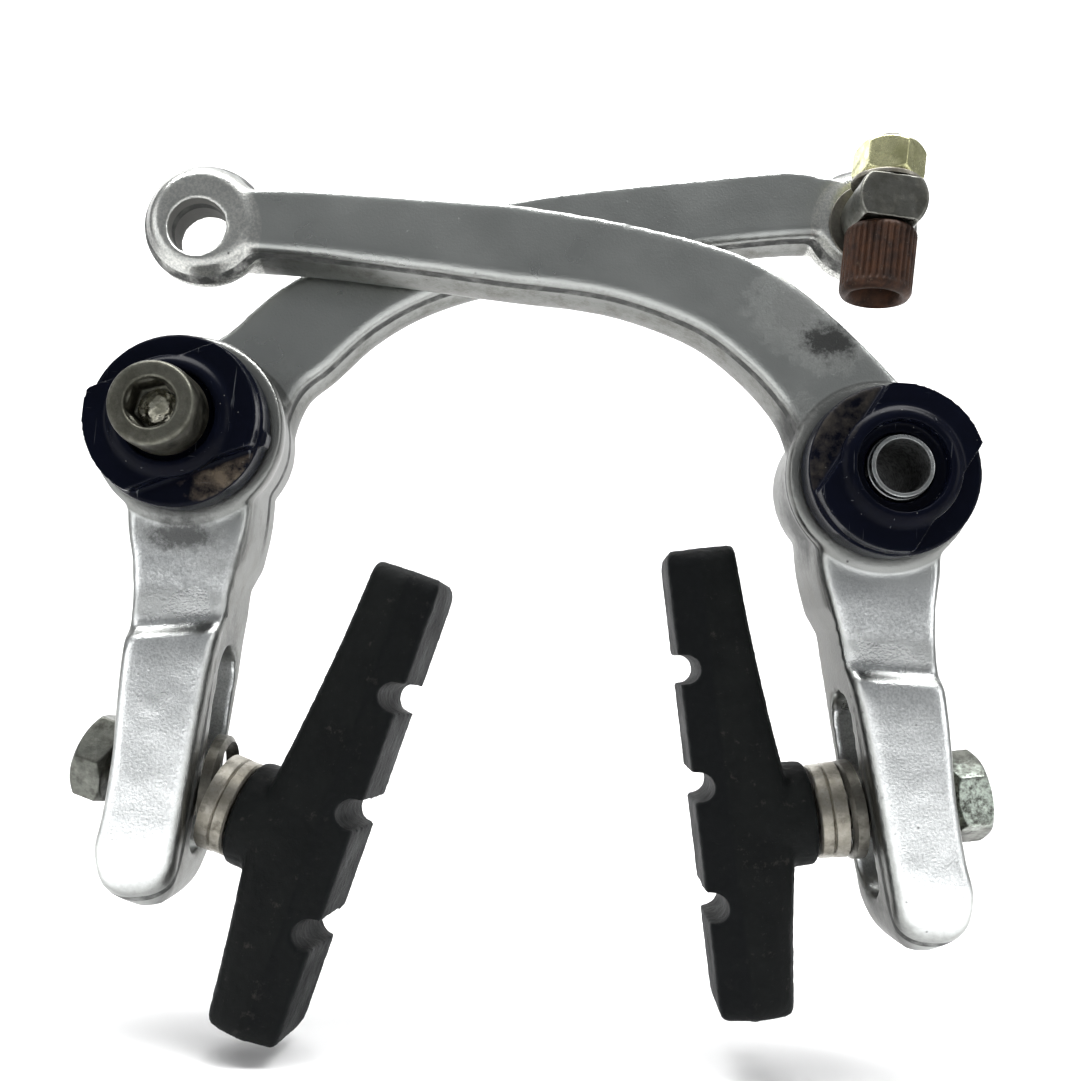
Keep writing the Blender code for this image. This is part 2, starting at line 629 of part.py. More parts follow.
def make_adjuster(stem):
    low, high = TUBE_Z
    profile = ((TUBE_WAY_R, low), (TUBE_R, low), (TUBE_R, high - 1.0), (TUBE_R - 0.9, high - 0.1),
               (TUBE_WAY_R, high))
    place(lathe("adjuster_tube", profile, SMALL_ROUND, "Z"), stem, tube_brass)
    low, high = BARREL_Z
    socket, depth = BARREL_SOCKET
    profile = ((socket + 0.3, low), (BARREL_R - 0.5, low), (BARREL_R, low + 0.5), (BARREL_R, high - 0.4),
               (BARREL_R - 0.4, high), (BARREL_BORE_R, high), (BARREL_BORE_R, low + depth), (socket, low + depth),
               (socket, low + 0.3))
    place(lathe("adjuster_barrel", profile, ROUND, "Z"), stem, barrel_rust)
    low, high = LOCK_WASHER_Z
    bore = TUBE_R + 0.2
    place(lathe("adjuster_washer", ((bore, low), (LOCK_WASHER_R, low), (LOCK_WASHER_R, high), (bore, high)), 32,
                "Z"), stem, dark_washer)
    make_nut("adjuster_lock_nut", stem, LOCK_NUT_AF, LOCK_NUT_Z, TUBE_R + 0.15, "Z", lock_nut_zinc, 0.9, 0.0)


clear_scene()
bpy.context.scene.unit_settings.system = "METRIC"
parts = new_collection(NAME)
cutters = new_collection("cutters", hidden=True)

arm_alloy = material("polished_forged_alloy", (0.62, 0.63, 0.62), 0.32, 1.0)
sleeve_steel = material("sleeve_steel", (0.55, 0.56, 0.57), 0.35, 1.0)
cap_plastic = material("black_gloss_plastic", (0.012, 0.014, 0.022), 0.28, 0.0)
spring_steel = material("spring_steel", (0.32, 0.32, 0.33), 0.42, 1.0)
bolt_zinc = material("dull_zinc_bolt", (0.50, 0.49, 0.44), 0.45, 1.0)
pad_rubber = material("black_pad_rubber", (0.020, 0.022, 0.022), 0.72, 0.0)
stud_zinc = material("stud_zinc", (0.48, 0.47, 0.44), 0.42, 1.0)
dark_washer = material("dark_grimy_washer", (0.22, 0.21, 0.19), 0.55, 1.0)
collar_silver = material("silver_washer", (0.60, 0.58, 0.54), 0.38, 1.0)
nut_zinc = material("grey_zinc_nut", (0.34, 0.34, 0.32), 0.48, 1.0)
anchor_steel = material("anchor_post_steel", (0.55, 0.55, 0.54), 0.35, 1.0)
tube_brass = material("adjuster_tube_metal", (0.24, 0.23, 0.21), 0.50, 1.0)
barrel_rust = material("rusty_knurled_barrel", (0.16, 0.09, 0.055), 0.60, 0.6)
lock_nut_zinc = material("yellow_zinc_nut", (0.58, 0.57, 0.42), 0.36, 1.0)

right_axis = axis_empty("right_pivot_axis", (PIVOT_HALF, 0, 0))
left_axis = axis_empty("left_pivot_axis", (-PIVOT_HALF, 0, 0))
right_arm_axis = axis_empty("right_arm_axis", (0, 0, 0), None, right_axis)
left_arm_axis = axis_empty("left_arm_axis", (0, 0, 0), turn_y(-REAR_ARM_TURN), left_axis)

make_arm("right_arm", 1, right_arm_axis, FRONT_STATIONS, FRONT_ARM_Y, FRONT_EYE, FRONT_EYE_Y, EYE_HOLE_R)
make_arm("left_arm", -1, left_arm_axis, REAR_STATIONS, REAR_ARM_Y, REAR_EYE, REAR_EYE_Y, POST_HOLE_R)
make_sleeve("right_pivot_sleeve", right_axis)
make_sleeve("left_pivot_sleeve", left_axis)
make_bolt("left_pivot_bolt", left_axis)
make_cap("right_spring_cap", right_axis, RIGHT_CAP_TURN, 180.0)
make_cap("left_spring_cap", left_axis, LEFT_CAP_TURN, REAR_ARM_TURN)
make_spring("right_return_spring", right_arm_axis, 1, math.pi)
make_spring("left_return_spring", left_arm_axis, -1, 0.0)
make_pad_group("right", right_arm_axis, 1, RIGHT_PAD)
make_pad_group("left", left_arm_axis, -1, LEFT_PAD)
make_anchor(left_arm_axis, -1)
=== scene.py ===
"""The visible crossing-arm rim brake caliper: arms, caps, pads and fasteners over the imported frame.

Shapes are worked out in millimetres about their own axes, which come from the frame's joints, and are
written to the scene in metres. +Y points back towards the bicycle frame and +Z up towards the cable.
"""

import json
import math

import bmesh
import bpy
import numpy as np
from mathutils import Matrix, Vector, noise


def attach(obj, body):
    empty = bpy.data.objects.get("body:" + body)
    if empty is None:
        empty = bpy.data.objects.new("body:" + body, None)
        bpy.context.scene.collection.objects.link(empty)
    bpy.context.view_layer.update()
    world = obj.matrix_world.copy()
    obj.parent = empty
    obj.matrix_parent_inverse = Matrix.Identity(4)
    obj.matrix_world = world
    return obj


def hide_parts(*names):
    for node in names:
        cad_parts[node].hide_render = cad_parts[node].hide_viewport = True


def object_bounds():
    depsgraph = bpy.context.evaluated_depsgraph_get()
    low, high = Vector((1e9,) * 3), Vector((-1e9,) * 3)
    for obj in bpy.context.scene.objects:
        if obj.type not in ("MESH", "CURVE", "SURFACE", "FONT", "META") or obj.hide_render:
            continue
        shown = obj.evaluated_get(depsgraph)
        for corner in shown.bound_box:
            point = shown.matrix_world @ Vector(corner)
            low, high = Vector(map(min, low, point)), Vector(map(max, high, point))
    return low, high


MM = 0.001

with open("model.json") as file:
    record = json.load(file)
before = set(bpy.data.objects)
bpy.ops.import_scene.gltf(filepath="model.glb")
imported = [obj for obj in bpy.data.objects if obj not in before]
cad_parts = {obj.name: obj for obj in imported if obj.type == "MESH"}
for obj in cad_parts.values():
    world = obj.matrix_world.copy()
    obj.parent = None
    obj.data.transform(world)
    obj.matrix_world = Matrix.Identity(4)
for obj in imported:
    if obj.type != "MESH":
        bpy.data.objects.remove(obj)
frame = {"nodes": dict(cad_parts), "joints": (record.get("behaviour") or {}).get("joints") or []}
cad_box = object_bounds()
joints = {joint["name"]: joint for joint in frame["joints"]}

# the photograph's viewpoint: a near, slightly low camera that looks a little up
CAMERA_AT = (-0.22, -146.86, -25.76)
CAMERA_TURN = (96.49, -3.81, -1.06)
CAMERA_LENS = 36.0
SENSOR_WIDTH = 36.0

# arms, about their pivots: (inwards, up)
REAR_ARM_TURN = 7.7
FRONT_STATIONS = (
    ((-4.0, 10.0), (9.0, -4.0)), ((4.7, 18.3), (11.3, 5.2)), ((11.2, 23.4), (13.6, 8.8)),
    ((17.7, 26.9), (17.5, 12.6)), ((24.1, 28.7), (22.6, 16.2)), ((30.6, 29.9), (28.5, 18.5)),
    ((37.0, 30.8), (35.2, 20.1)), ((49.7, 31.8), (49.0, 21.0)), ((62.4, 31.9), (62.0, 21.9)),
    ((76.0, 31.7), (76.0, 22.5)), ((84.0, 31.2), (84.0, 22.4)),
)
REAR_STATIONS = (
    ((-4.0, 10.0), (9.0, -4.0)), ((3.8, 15.0), (12.4, 5.0)), ((9.5, 19.6), (16.5, 8.3)),
    ((17.0, 23.6), (22.0, 12.9)), ((25.0, 26.6), (28.0, 16.2)), ((33.0, 28.9), (35.0, 18.4)),
    ((42.0, 30.5), (42.5, 19.6)), ((54.0, 31.5), (54.0, 20.8)), ((67.5, 32.1), (67.5, 21.8)),
    ((79.0, 32.5), (79.0, 22.3)), ((86.5, 31.0), (86.5, 22.0)),
)
FRONT_ARM_Y = (-15.8, -8.0)
REAR_ARM_Y = (-7.6, -1.05)
EDGE_BEVEL = 1.45
FRONT_EYE = (87.3, 25.65)
REAR_EYE = (89.9, 23.8)
FRONT_EYE_Y = (-15.9, -9.9)
REAR_EYE_Y = (-7.85, -0.85)
EYE_R = 7.9
EYE_SHIFT = (-0.3, 1.25)
EYE_FACE_R = 5.9
EYE_HOLE_R = 3.6
EYE_RAISED = 0.5
POST_HOLE_R = 3.15
# stations of a leg: height, inner side, outer side, front, corner
LEG_STATIONS = (
    (-4.0, 8.0, -8.0, -15.6, 1.2), (-12.0, 7.0, -7.9, -15.6, 1.2), (-16.0, 5.9, -7.4, -15.9, 1.2),
    (-20.0, 4.7, -7.5, -15.8, 1.2), (-23.6, 3.8, -8.0, -15.5, 1.2), (-25.6, 3.2, -8.3, -17.2, 1.5),
    (-32.0, 1.6, -9.1, -17.6, 1.5), (-39.0, 0.0, -9.9, -17.6, 1.5), (-46.0, -1.5, -11.3, -17.6, 1.6),
    (-50.0, -2.4, -12.3, -17.4, 1.6), (-53.5, -3.3, -12.1, -16.4, 1.8), (-56.0, -4.6, -10.8, -14.2, 2.2),
    (-57.4, -6.2, -8.8, -11.8, 1.0),
)
LEG_TILT = 10.4
# heights of the concave cove that gets painted shade on the arms
COVE_Z = (20.6, 23.0)
LEG_BACK_Y = -0.95
SLOT_MID = (-4.5, -38.7)
SLOT_Y = -7.6
SLOT_HALF = (4.1, 13.0)
TRACK_X = (-4.55, 4.75)
TRACK_FRONT_Y = -14.2
TRACK_HALF = 20.5
TRACK_RAMP = 16.0
BOSS_R = 11.8
BOSS_BACK_R = 10.4
BOSS_LIP_Y = -16.2
ARM_BACK_Y = -0.8
ARM_BORE_R = 5.2
SPRING_WELL = (8.4, -7.0)

# spring caps
CAP_R = 10.45
CAP_BACK_Y = -16.5
CAP_STEP_Y = -20.6
CAP_BAR_Y = -22.8
CAP_LIP_Y = -23.6
CAP_BAR_HALF = 6.5
CAP_RECESS = (5.5, -21.9)
CAP_WELL = (7.6, -19.3)
CAP_SKIRT = (8.1, -15.1)
CAP_BORE_R = 4.2
CAP_TURN = {"right": 30.0, "left": 65.5}
CAP_NUB_AT = 57.6

# pivot hardware
SLEEVE_R = 5.0
FLANGE_R = 7.0
FLANGE_THICK = 0.6
SLEEVE_BORE_R = 4.05
NECK_R = 4.0
BOLT_WAY_R = 3.2
SLEEVE_SHOULDER_Y = -15.4
SLEEVE_END_Y = -23.1
BOLT_HEAD_R = 5.0
BOLT_HEAD_Y = (-29.4, -23.25)
BOLT_SHANK_R = 2.95
BOLT_END_Y = -9.0
HEX_KEY = 5.0
SOCKET_DEPTH = 3.2

# pads, along the stud from mid-leg, negative towards the rim
PAD_LENGTH = 57.9
PAD_BELOW_STUD = 23.3
PAD_FACE_X = -24.9
PAD_REAR_X = -10.35
PAD_BOSS_R = 6.4
PAD_FACE_HALF = 5.5
PAD_RIDGE_HALF = 7.0
PAD_BACK_HALF = 6.3
PAD_RIDGE_IN = 3.9
NOTCH_R = 1.8
NOTCH_DEPTH = 2.6
NOTCH_HEIGHTS = (-15.1, -0.6, 13.9)
STUD_R = 2.8
STUD_END_X = 11.2
SEAT_X = -4.75
INNER_DOME = (10.0, 1.9, 5.4, 6.2)
COLLAR_X = -10.0
COLLAR_R = 5.95
NUT_X = (7.1, 11.4)
NUT_AF = 10.0

# cable anchor, about the post axis and, for the adjuster, about its own
POST_R = 2.8
POST_HEAD_R = 4.45
POST_HEAD_Y = (-17.7, -8.8)
POST_FLAT = 2.85
POST_TAIL_Y = 0.9
ANCHOR_WASHER = (5.7, -8.5, -8.0)
TUBE_R = 2.4
TUBE_WAY_R = 1.2
TUBE_Z = (-7.0, 9.8)
BARREL_R = 4.55
BARREL_Z = (-12.1, -3.05)
BARREL_SOCKET = (3.1, 4.7)
BARREL_BORE_R = 2.6
KNURLS = 34
LOCK_WASHER = (4.5, 3.05, 3.6)
LOCK_NUT_Z = (3.65, 8.3)
LOCK_NUT_TURN = -0.33
LOCK_NUT_AF = 8.0

ARM_VOXEL = 0.42
CAP_VOXEL = 0.2
PAD_VOXEL = 0.3

# dark stains on the arms: centre, radius, strength, squash
FRONT_STAINS = (
    ((35.6, -15.8, 16.6), 5.2, 1.0, (0.95, 1, 1.25)), ((31.4, -15.8, 20.6), 6.0, 0.55, (0.9, 1, 1.0)),
    ((32.5, -13.0, 6.0), 3.4, 0.8, (1.2, 0.7, 0.7)), ((34.8, -9.0, -4.0), 4.5, 0.6, (1.4, 0.8, 0.5)),
    ((9.9, -15.8, 30.2), 0.9, 0.7, (1, 1, 1)), ((44.0, -8.0, -52.0), 5.0, 0.5, (1, 1, 1)),
)
REAR_STAINS = (
    ((-42.5, -15.7, -13.2), 4.6, 0.85, (0.7, 1, 1.6)), ((-37.5, -15.7, -15.8), 3.6, 0.4, (0.8, 1, 1)),
    ((-33.0, -7.6, 7.0), 4.0, 0.3, (1, 1, 1)), ((-0.8, -7.6, 38.0), 1.0, 0.7, (1, 1, 1)),
    ((-38.0, -8.0, -30.0), 5.0, 0.5, (1.2, 1, 0.6)),
)
# crusted patches on the caps: direction and distance of the edge, centre, reach, strength, colour
RIGHT_CAP_PATCH = ((-0.866, 0, 0.5), 6.6, (-8.0, 0, 4.6), 14.0, 0.75, (0.050, 0.044, 0.037))
LEFT_CAP_PATCH = ((0.415, 0, -0.91), 6.9, (6.6, 0, -5.8), 4.6, 0.85, (0.15, 0.12, 0.088))
# steel parts: bright, dull and grimy colours (the grimy one is also the bolt head's painted side shade), then
# roughness, grain in millimetres and cover where not usual
SLEEVE_TONES = ((0.46, 0.48, 0.48), (0.26, 0.27, 0.27), (0.07, 0.07, 0.065), (0.22, 0.36))
BOLT_TONES = ((0.15, 0.15, 0.125), (0.08, 0.079, 0.064), (0.028, 0.026, 0.018), (0.32, 0.5), 0.6, 0.8)
CRUST_TONES = ((0.75, 0.73, 0.62), (0.40, 0.39, 0.30), (0.10, 0.09, 0.055), (0.2, 0.35))
WASHER_TONES = ((0.16, 0.155, 0.135), (0.085, 0.08, 0.068), (0.03, 0.027, 0.02))
COLLAR_TONES = ((0.34, 0.325, 0.285), (0.22, 0.205, 0.17), (0.08, 0.07, 0.05), (0.34, 0.5))
STUD_TONES = ((0.34, 0.33, 0.30), (0.22, 0.21, 0.18), (0.07, 0.06, 0.045))
NUT_TONES = ((0.17, 0.175, 0.155), (0.085, 0.088, 0.078), (0.035, 0.033, 0.025), (0.3, 0.5), 0.6, 0.7)
POST_TONES = ((0.21, 0.21, 0.19), (0.10, 0.10, 0.086), (0.04, 0.038, 0.028), (0.25, 0.42))
YELLOW_TONES = ((0.80, 0.79, 0.46), (0.42, 0.42, 0.22), (0.07, 0.065, 0.032), (0.18, 0.34), 0.8, 0.9)
SPRING_TONES = ((0.30, 0.30, 0.31), (0.20, 0.20, 0.21), (0.06, 0.055, 0.045))


# geometry


def joint_at(name):
    return Vector(joints[name]["pos_m"]) / MM


def place_mesh(name, bm, where=None):
    """An object from a bmesh in millimetres, put in the scene by a matrix in millimetres."""
    bmesh.ops.remove_doubles(bm, verts=bm.verts, dist=1e-4)
    bmesh.ops.recalc_face_normals(bm, faces=bm.faces)
    if where is not None:
        bmesh.ops.transform(bm, matrix=where, verts=bm.verts)
    bmesh.ops.scale(bm, vec=(MM, MM, MM), verts=bm.verts)
    mesh = bpy.data.meshes.new(name)
    bm.to_mesh(mesh)
    bm.free()
    made = bpy.data.objects.new(name, mesh)
    bpy.context.scene.collection.objects.link(made)
    return made


def lathe(profile, steps=96, axis="Y", ripple=None):
    """A closed (radius, along) profile turned about the axis; ripple(radius, turn, along) gives a radius."""
    bm = bmesh.new()
    along = "XYZ".index(axis)
    out, other = (along + 1) % 3, (along + 2) % 3
    rings = []
    for i in range(steps):
        turn = 2 * math.pi * i / steps
        ring = []
        for radius, at in profile:
            r = ripple(radius, turn, at) if ripple else radius
            co = [0.0, 0.0, 0.0]
            co[out], co[other], co[along] = r * math.cos(turn), r * math.sin(turn), at
            ring.append(bm.verts.new(co))
        rings.append(ring)
    count = len(profile)
    for i in range(steps):
        a, b = rings[i - 1], rings[i]
        for j in range(count):
            corners = (a[j - 1], a[j], b[j], b[j - 1])
            if profile[j - 1][0] > 1e-6 or profile[j][0] > 1e-6:
                bm.faces.new(corners)
    bmesh.ops.remove_doubles(bm, verts=bm.verts, dist=1e-4)
    bmesh.ops.dissolve_degenerate(bm, edges=bm.edges, dist=1e-5)
    return bm


def rounded(points, radius, steps=4):
    """A closed outline with each corner eased by an arc-like curve of about this radius."""
    count = len(points)
    eased = []
    for i in range(count):
        before, here, after = (Vector(points[k % count]) for k in (i - 1, i, i + 1))
        back, on = before - here, after - here
        reach = min(radius, back.length * 0.45, on.length * 0.45)
        start, end = here + back.normalized() * reach, here + on.normalized() * reach
        if here.x < 1e-6 or reach < 1e-4:
            eased.append(tuple(here))
            continue
        for k in range(steps + 1):
            t = k / steps
            eased.append(tuple(start * (1 - t) ** 2 + here * 2 * t * (1 - t) + end * t ** 2))
    return eased


def prism(outline, low, high, axis="Y"):
    bm = bmesh.new()
    along = "XYZ".index(axis)
    others = [i for i in range(3) if i != along]
    rows = []
    for at in (low, high):
        row = []
        for a, b in outline:
            co = [0.0, 0.0, 0.0]
            co[others[0]], co[others[1]], co[along] = a, b, at
            row.append(bm.verts.new(co))
        rows.append(row)
    for i in range(len(outline)):
        bm.faces.new((rows[0][i - 1], rows[0][i], rows[1][i], rows[1][i - 1]))
    bm.faces.new(rows[0])
    bm.faces.new(rows[1])
    return bm


def loft(rings):
    bm = bmesh.new()
    rows = [[bm.verts.new(point) for point in ring] for ring in rings]
    count = len(rows[0])
    for a, b in zip(rows, rows[1:]):
        for i in range(count):
            bm.faces.new((a[i - 1], a[i], b[i], b[i - 1]))
    bm.faces.new(rows[0])
    bm.faces.new(rows[-1])
    return bm


def polygon(sides, across, start=0.0):
    corner = across / 2 / math.cos(math.pi / sides)
    turns = [start + 2 * math.pi * i / sides for i in range(sides)]
    return [(corner * math.cos(turn), corner * math.sin(turn)) for turn in turns]


def slot_outline(half_width, half_length, steps=24):
    points = []
    for end in (1, -1):
        for i in range(steps + 1):
            t = math.pi * i / steps
            points.append((end * half_width * math.cos(t),
                           end * (half_length - half_width + half_width * math.sin(t))))
    return points


def chord_outline(radius, half, steps=40):
    reach = math.acos(half / radius)
    points = []
    for start in (math.pi / 2, -math.pi / 2):
        low, high = start - (math.pi / 2 - reach), start + (math.pi / 2 - reach)
        points += [(radius * math.cos(low + (high - low) * i / steps),
                    radius * math.sin(low + (high - low) * i / steps)) for i in range(steps + 1)]
    return points


def eased_values(knots, values, at):
    """A smooth curve through the values that never overshoots them (monotone cubic)."""
    x, y = np.asarray(knots, float), np.asarray(values, float)
    step, slope = np.diff(x), np.diff(y) / np.diff(x)
    tangent = np.concatenate(([slope[0]], (slope[:-1] + slope[1:]) / 2, [slope[-1]]))
    tangent[1:-1][slope[:-1] * slope[1:] <= 0] = 0
    for i, s in enumerate(slope):
        if s == 0:
            tangent[i] = tangent[i + 1] = 0
            continue
        size = math.hypot(tangent[i] / s, tangent[i + 1] / s)
        if size > 3:
            tangent[i], tangent[i + 1] = 3 * tangent[i] / size, 3 * tangent[i + 1] / size
    k = np.clip(np.searchsorted(x, at) - 1, 0, len(step) - 1)
    t = (at - x[k]) / step[k]
    return ((2 * t ** 3 - 3 * t ** 2 + 1) * y[k] + (t ** 3 - 2 * t ** 2 + t) * step[k] * tangent[k]
            + (3 * t ** 2 - 2 * t ** 3) * y[k + 1] + (t ** 3 - t ** 2) * step[k] * tangent[k + 1])


def only(obj):
    bpy.context.view_layer.objects.active = obj
    for other in bpy.context.selected_objects:
        other.select_set(False)
    obj.select_set(True)


def apply_modifiers(obj):
    graph = bpy.context.evaluated_depsgraph_get()
    mesh = bpy.data.meshes.new_from_object(obj.evaluated_get(graph))
    obj.modifiers.clear()
    old = obj.data
    obj.data = mesh
    bpy.data.meshes.remove(old)


def voxelled(obj, size):
    step = obj.modifiers.new("voxel", "REMESH")
    step.mode = "VOXEL"
    step.voxel_size = size * MM
    step.use_smooth_shade = True
    apply_modifiers(obj)


def cut(obj, cutters, operation="DIFFERENCE"):
    for cutter in cutters:
        step = obj.modifiers.new("cut", "BOOLEAN")
        step.operation = operation
        step.solver = "MANIFOLD"
        step.object = cutter
    apply_modifiers(obj)
    for cutter in cutters:
        bpy.data.objects.remove(cutter)


def soften(obj, factor, rounds):
    step = obj.modifiers.new("soften", "SMOOTH")
    step.factor = factor
    step.iterations = rounds
    apply_modifiers(obj)


def forge(name, solids, cutters, voxel, rounds, where=None):
    """Fuses overlapping solids, cuts the holes, and rounds every edge a little."""
    objects = [place_mesh(f"{name}_{i}", bm, where) for i, bm in enumerate(solids)]
    body = objects[0]
    bm = bmesh.new()
    for other in objects:
        bm.from_mesh(other.data)
    bm.to_mesh(body.data)
    bm.free()
    for other in objects[1:]:
        bpy.data.objects.remove(other)
    body.name = name
    voxelled(body, voxel)
    if cutters:
        cut(body, [place_mesh(f"{name}_cutter_{i}", bm, where) for i, bm in enumerate(cutters)])
        voxelled(body, voxel)
    soften(body, 0.5, rounds)
    shade(body)
    return body


def shade(obj, angle=None):
    obj.data.shade_smooth()
    if angle is not None:
        only(obj)
        bpy.ops.object.shade_auto_smooth(angle=math.radians(angle))
        apply_modifiers(obj)


def translated(bm, shift):
    bmesh.ops.translate(bm, vec=shift, verts=bm.verts)
    return bm


def turned(bm, matrix):
    bmesh.ops.transform(bm, matrix=matrix, verts=bm.verts)
    return bm


def turn_y(degrees):
    return Matrix.Rotation(math.radians(degrees), 4, "Y")


def axes_at(spot, x, y, z):
    return Matrix.Translation(spot) @ Matrix((x, y, z)).transposed().to_4x4()


def finish_piece(obj, body, look, *nodes):
    obj.data.materials.clear()
    obj.data.materials.append(look)
    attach(obj, body)
    if nodes:
        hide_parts(*nodes)
    return obj


def add_piece(name, bm, where, angle, body, look, *nodes):
    """A piece of one mesh, flat-shaded across edges sharper than the angle."""
    piece = place_mesh(name, bm, where)
    shade(piece, angle)
    return finish_piece(piece, body, look, *nodes)


# arms


def arm_section(top, low, depth, side):
    """Flat front face, bright eased bevel, a fine crease, drafted lower side, eased back edges."""
    front, back = depth
    across = (top - low).normalized()
    draft = 0.7

    def at(point, y):
        return Vector((-side * point.x, y, point.y))

    ring = [at(top - across * 0.35, front)]
    for i in range(7):
        t = math.pi / 2 * i / 6
        inset = draft + EDGE_BEVEL * (1 - math.sin(t))
        ring.append(at(low + across * inset, front + 1.3 * (1 - math.cos(t))))
    ring += [at(low + across * (draft + 0.32), front + 1.75), at(low + across * (draft - 0.1), front + 2.3)]
    ring += [at(low + across * 0.15, (front + back) / 2 + 0.8), at(low, back - 1.2),
             at(low + across * 0.25, back - 0.4), at(low + across * 0.9, back)]
    ring += [at(top - across * 0.9, back), at(top - across * 0.25, back - 0.3), at(top, back - 1.0),
             at(top, front + 0.35)]
    return ring


def arm_rings(stations, depth, side):
    stations = [(Vector(a), Vector(b)) for a, b in stations]
    middles = [(a + b) / 2 for a, b in stations]
    run = [0.0]
    for a, b in zip(middles, middles[1:]):
        run.append(run[-1] + (b - a).length)
    at = np.linspace(0, run[-1], 90)
    tracks = [eased_values(run, [station[k][c] for station in stations], at) for k in (0, 1) for c in (0, 1)]
    return [arm_section(Vector((tx, tz)), Vector((lx, lz)), depth, side) for tx, tz, lx, lz in zip(*tracks)]


def leg_section(z, inner, outer, front, corner, side):
    back = LEG_BACK_Y - max(0.0, -53 - z) * 0.45
    points = []
    inner_corner = min(corner * 1.25, (inner - outer) / 2 - 0.1)
    outer_corner = min(corner, (inner - outer) / 2 - 0.1)
    for i in range(7):
        t = math.pi / 2 * i / 6
        points.append((outer + outer_corner * (1 - math.sin(t)), front + outer_corner * (1 - math.cos(t))))
    points += [(outer, back - 1.6), (outer + 0.4, back - 0.5), (outer + 1.5, back)]
    points += [(inner - 1.5, back), (inner - 0.4, back - 0.5), (inner, back - 1.6)]
    points += [(inner, front + inner_corner + 1.1), (inner - 0.28, front + inner_corner + 0.55)]
    for i in range(7):
        t = math.pi / 2 * i / 6
        points.append((inner - inner_corner * (1 - math.cos(t)), front + inner_corner * (1 - math.sin(t))))
    return [Vector((-side * u, y, z)) for u, y in points]


def leg_rings(side):
    columns = list(zip(*LEG_STATIONS))
    heights = -np.asarray(columns[0])
    at = np.linspace(heights[0], heights[-1], 110)
    tracks = [eased_values(heights, column, at) for column in columns[1:]]
    return [leg_section(-z, a, b, front, corner, side) for z, a, b, front, corner in zip(at, *tracks)]


def eyelet(centre, span, side, raised):
    front, back = span
    middle = (front + back) / 2
    front -= raised
    profile = [(0, front), (EYE_FACE_R - 0.4, front), (EYE_FACE_R + 0.4, front + 0.35)]
    for i in range(9):
        t = math.radians(50 - 100 * i / 8)
        profile.append((EYE_R - 2.6 + 2.6 * math.cos(t), middle - 2.7 * math.sin(t)))
    profile += [(EYE_FACE_R, back), (0, back)]
    return translated(lathe(profile, 96), (-side * (centre[0] + EYE_SHIFT[0]), 0, centre[1] + EYE_SHIFT[1]))


def leg_frame(bm, side):
    spot = Matrix.Translation((-side * SLOT_MID[0], SLOT_Y, SLOT_MID[1]))
    return turned(bm, spot @ turn_y(-side * LEG_TILT))


def arm_cutters(side, eye, hole_r):
    cutters = [lathe(((0, -30), (ARM_BORE_R, -30), (ARM_BORE_R, 5), (0, 5)), 96)]
    well, floor = SPRING_WELL
    cutters.append(lathe(((0, -30), (well, -30), (well, floor), (0, floor)), 96))
    hole = lathe(((0, -30), (hole_r, -30), (hole_r, 5), (0, 5)), 64)
    cutters.append(translated(hole, (-side * eye[0], 0, eye[1])))
    cutters.append(leg_frame(prism(slot_outline(*SLOT_HALF), -14, 14, "X"), side))
    front = TRACK_FRONT_Y - SLOT_Y
    for near, far in zip(TRACK_X, (-12, 12)):
        outline = [(side * near, -TRACK_HALF), (side * near, TRACK_HALF),
                   (side * far, TRACK_HALF + TRACK_RAMP), (side * far, -TRACK_HALF - TRACK_RAMP)]
        cutters.append(leg_frame(prism(outline, front, 9), side))
    return cutters


def make_arm(word, side, stations, depth, eye, eye_span, raised, hole_r, lean):
    pivot = joint_at(f"{word}_arm_swing")
    where = Matrix.Translation(pivot) @ turn_y(lean)
    boss = lathe(rounded(((0, ARM_BACK_Y), (BOSS_BACK_R, ARM_BACK_Y), (BOSS_BACK_R + 0.3, BOSS_LIP_Y + 6.0),
                          (BOSS_R, BOSS_LIP_Y + 2.0), (BOSS_R, BOSS_LIP_Y), (0, BOSS_LIP_Y)), 0.9), 128)
    solids = [boss, loft(arm_rings(stations, depth, side)), loft(leg_rings(side))]
    solids.append(eyelet(eye, eye_span, side, raised))
    arm = forge(f"{word}_forged_arm", solids, arm_cutters(side, eye, hole_r), ARM_VOXEL, 3, where)
    return finish_piece(arm, f"{word}_arm_body", alloy[word], f"{word}_arm")


# pivot hardware and caps


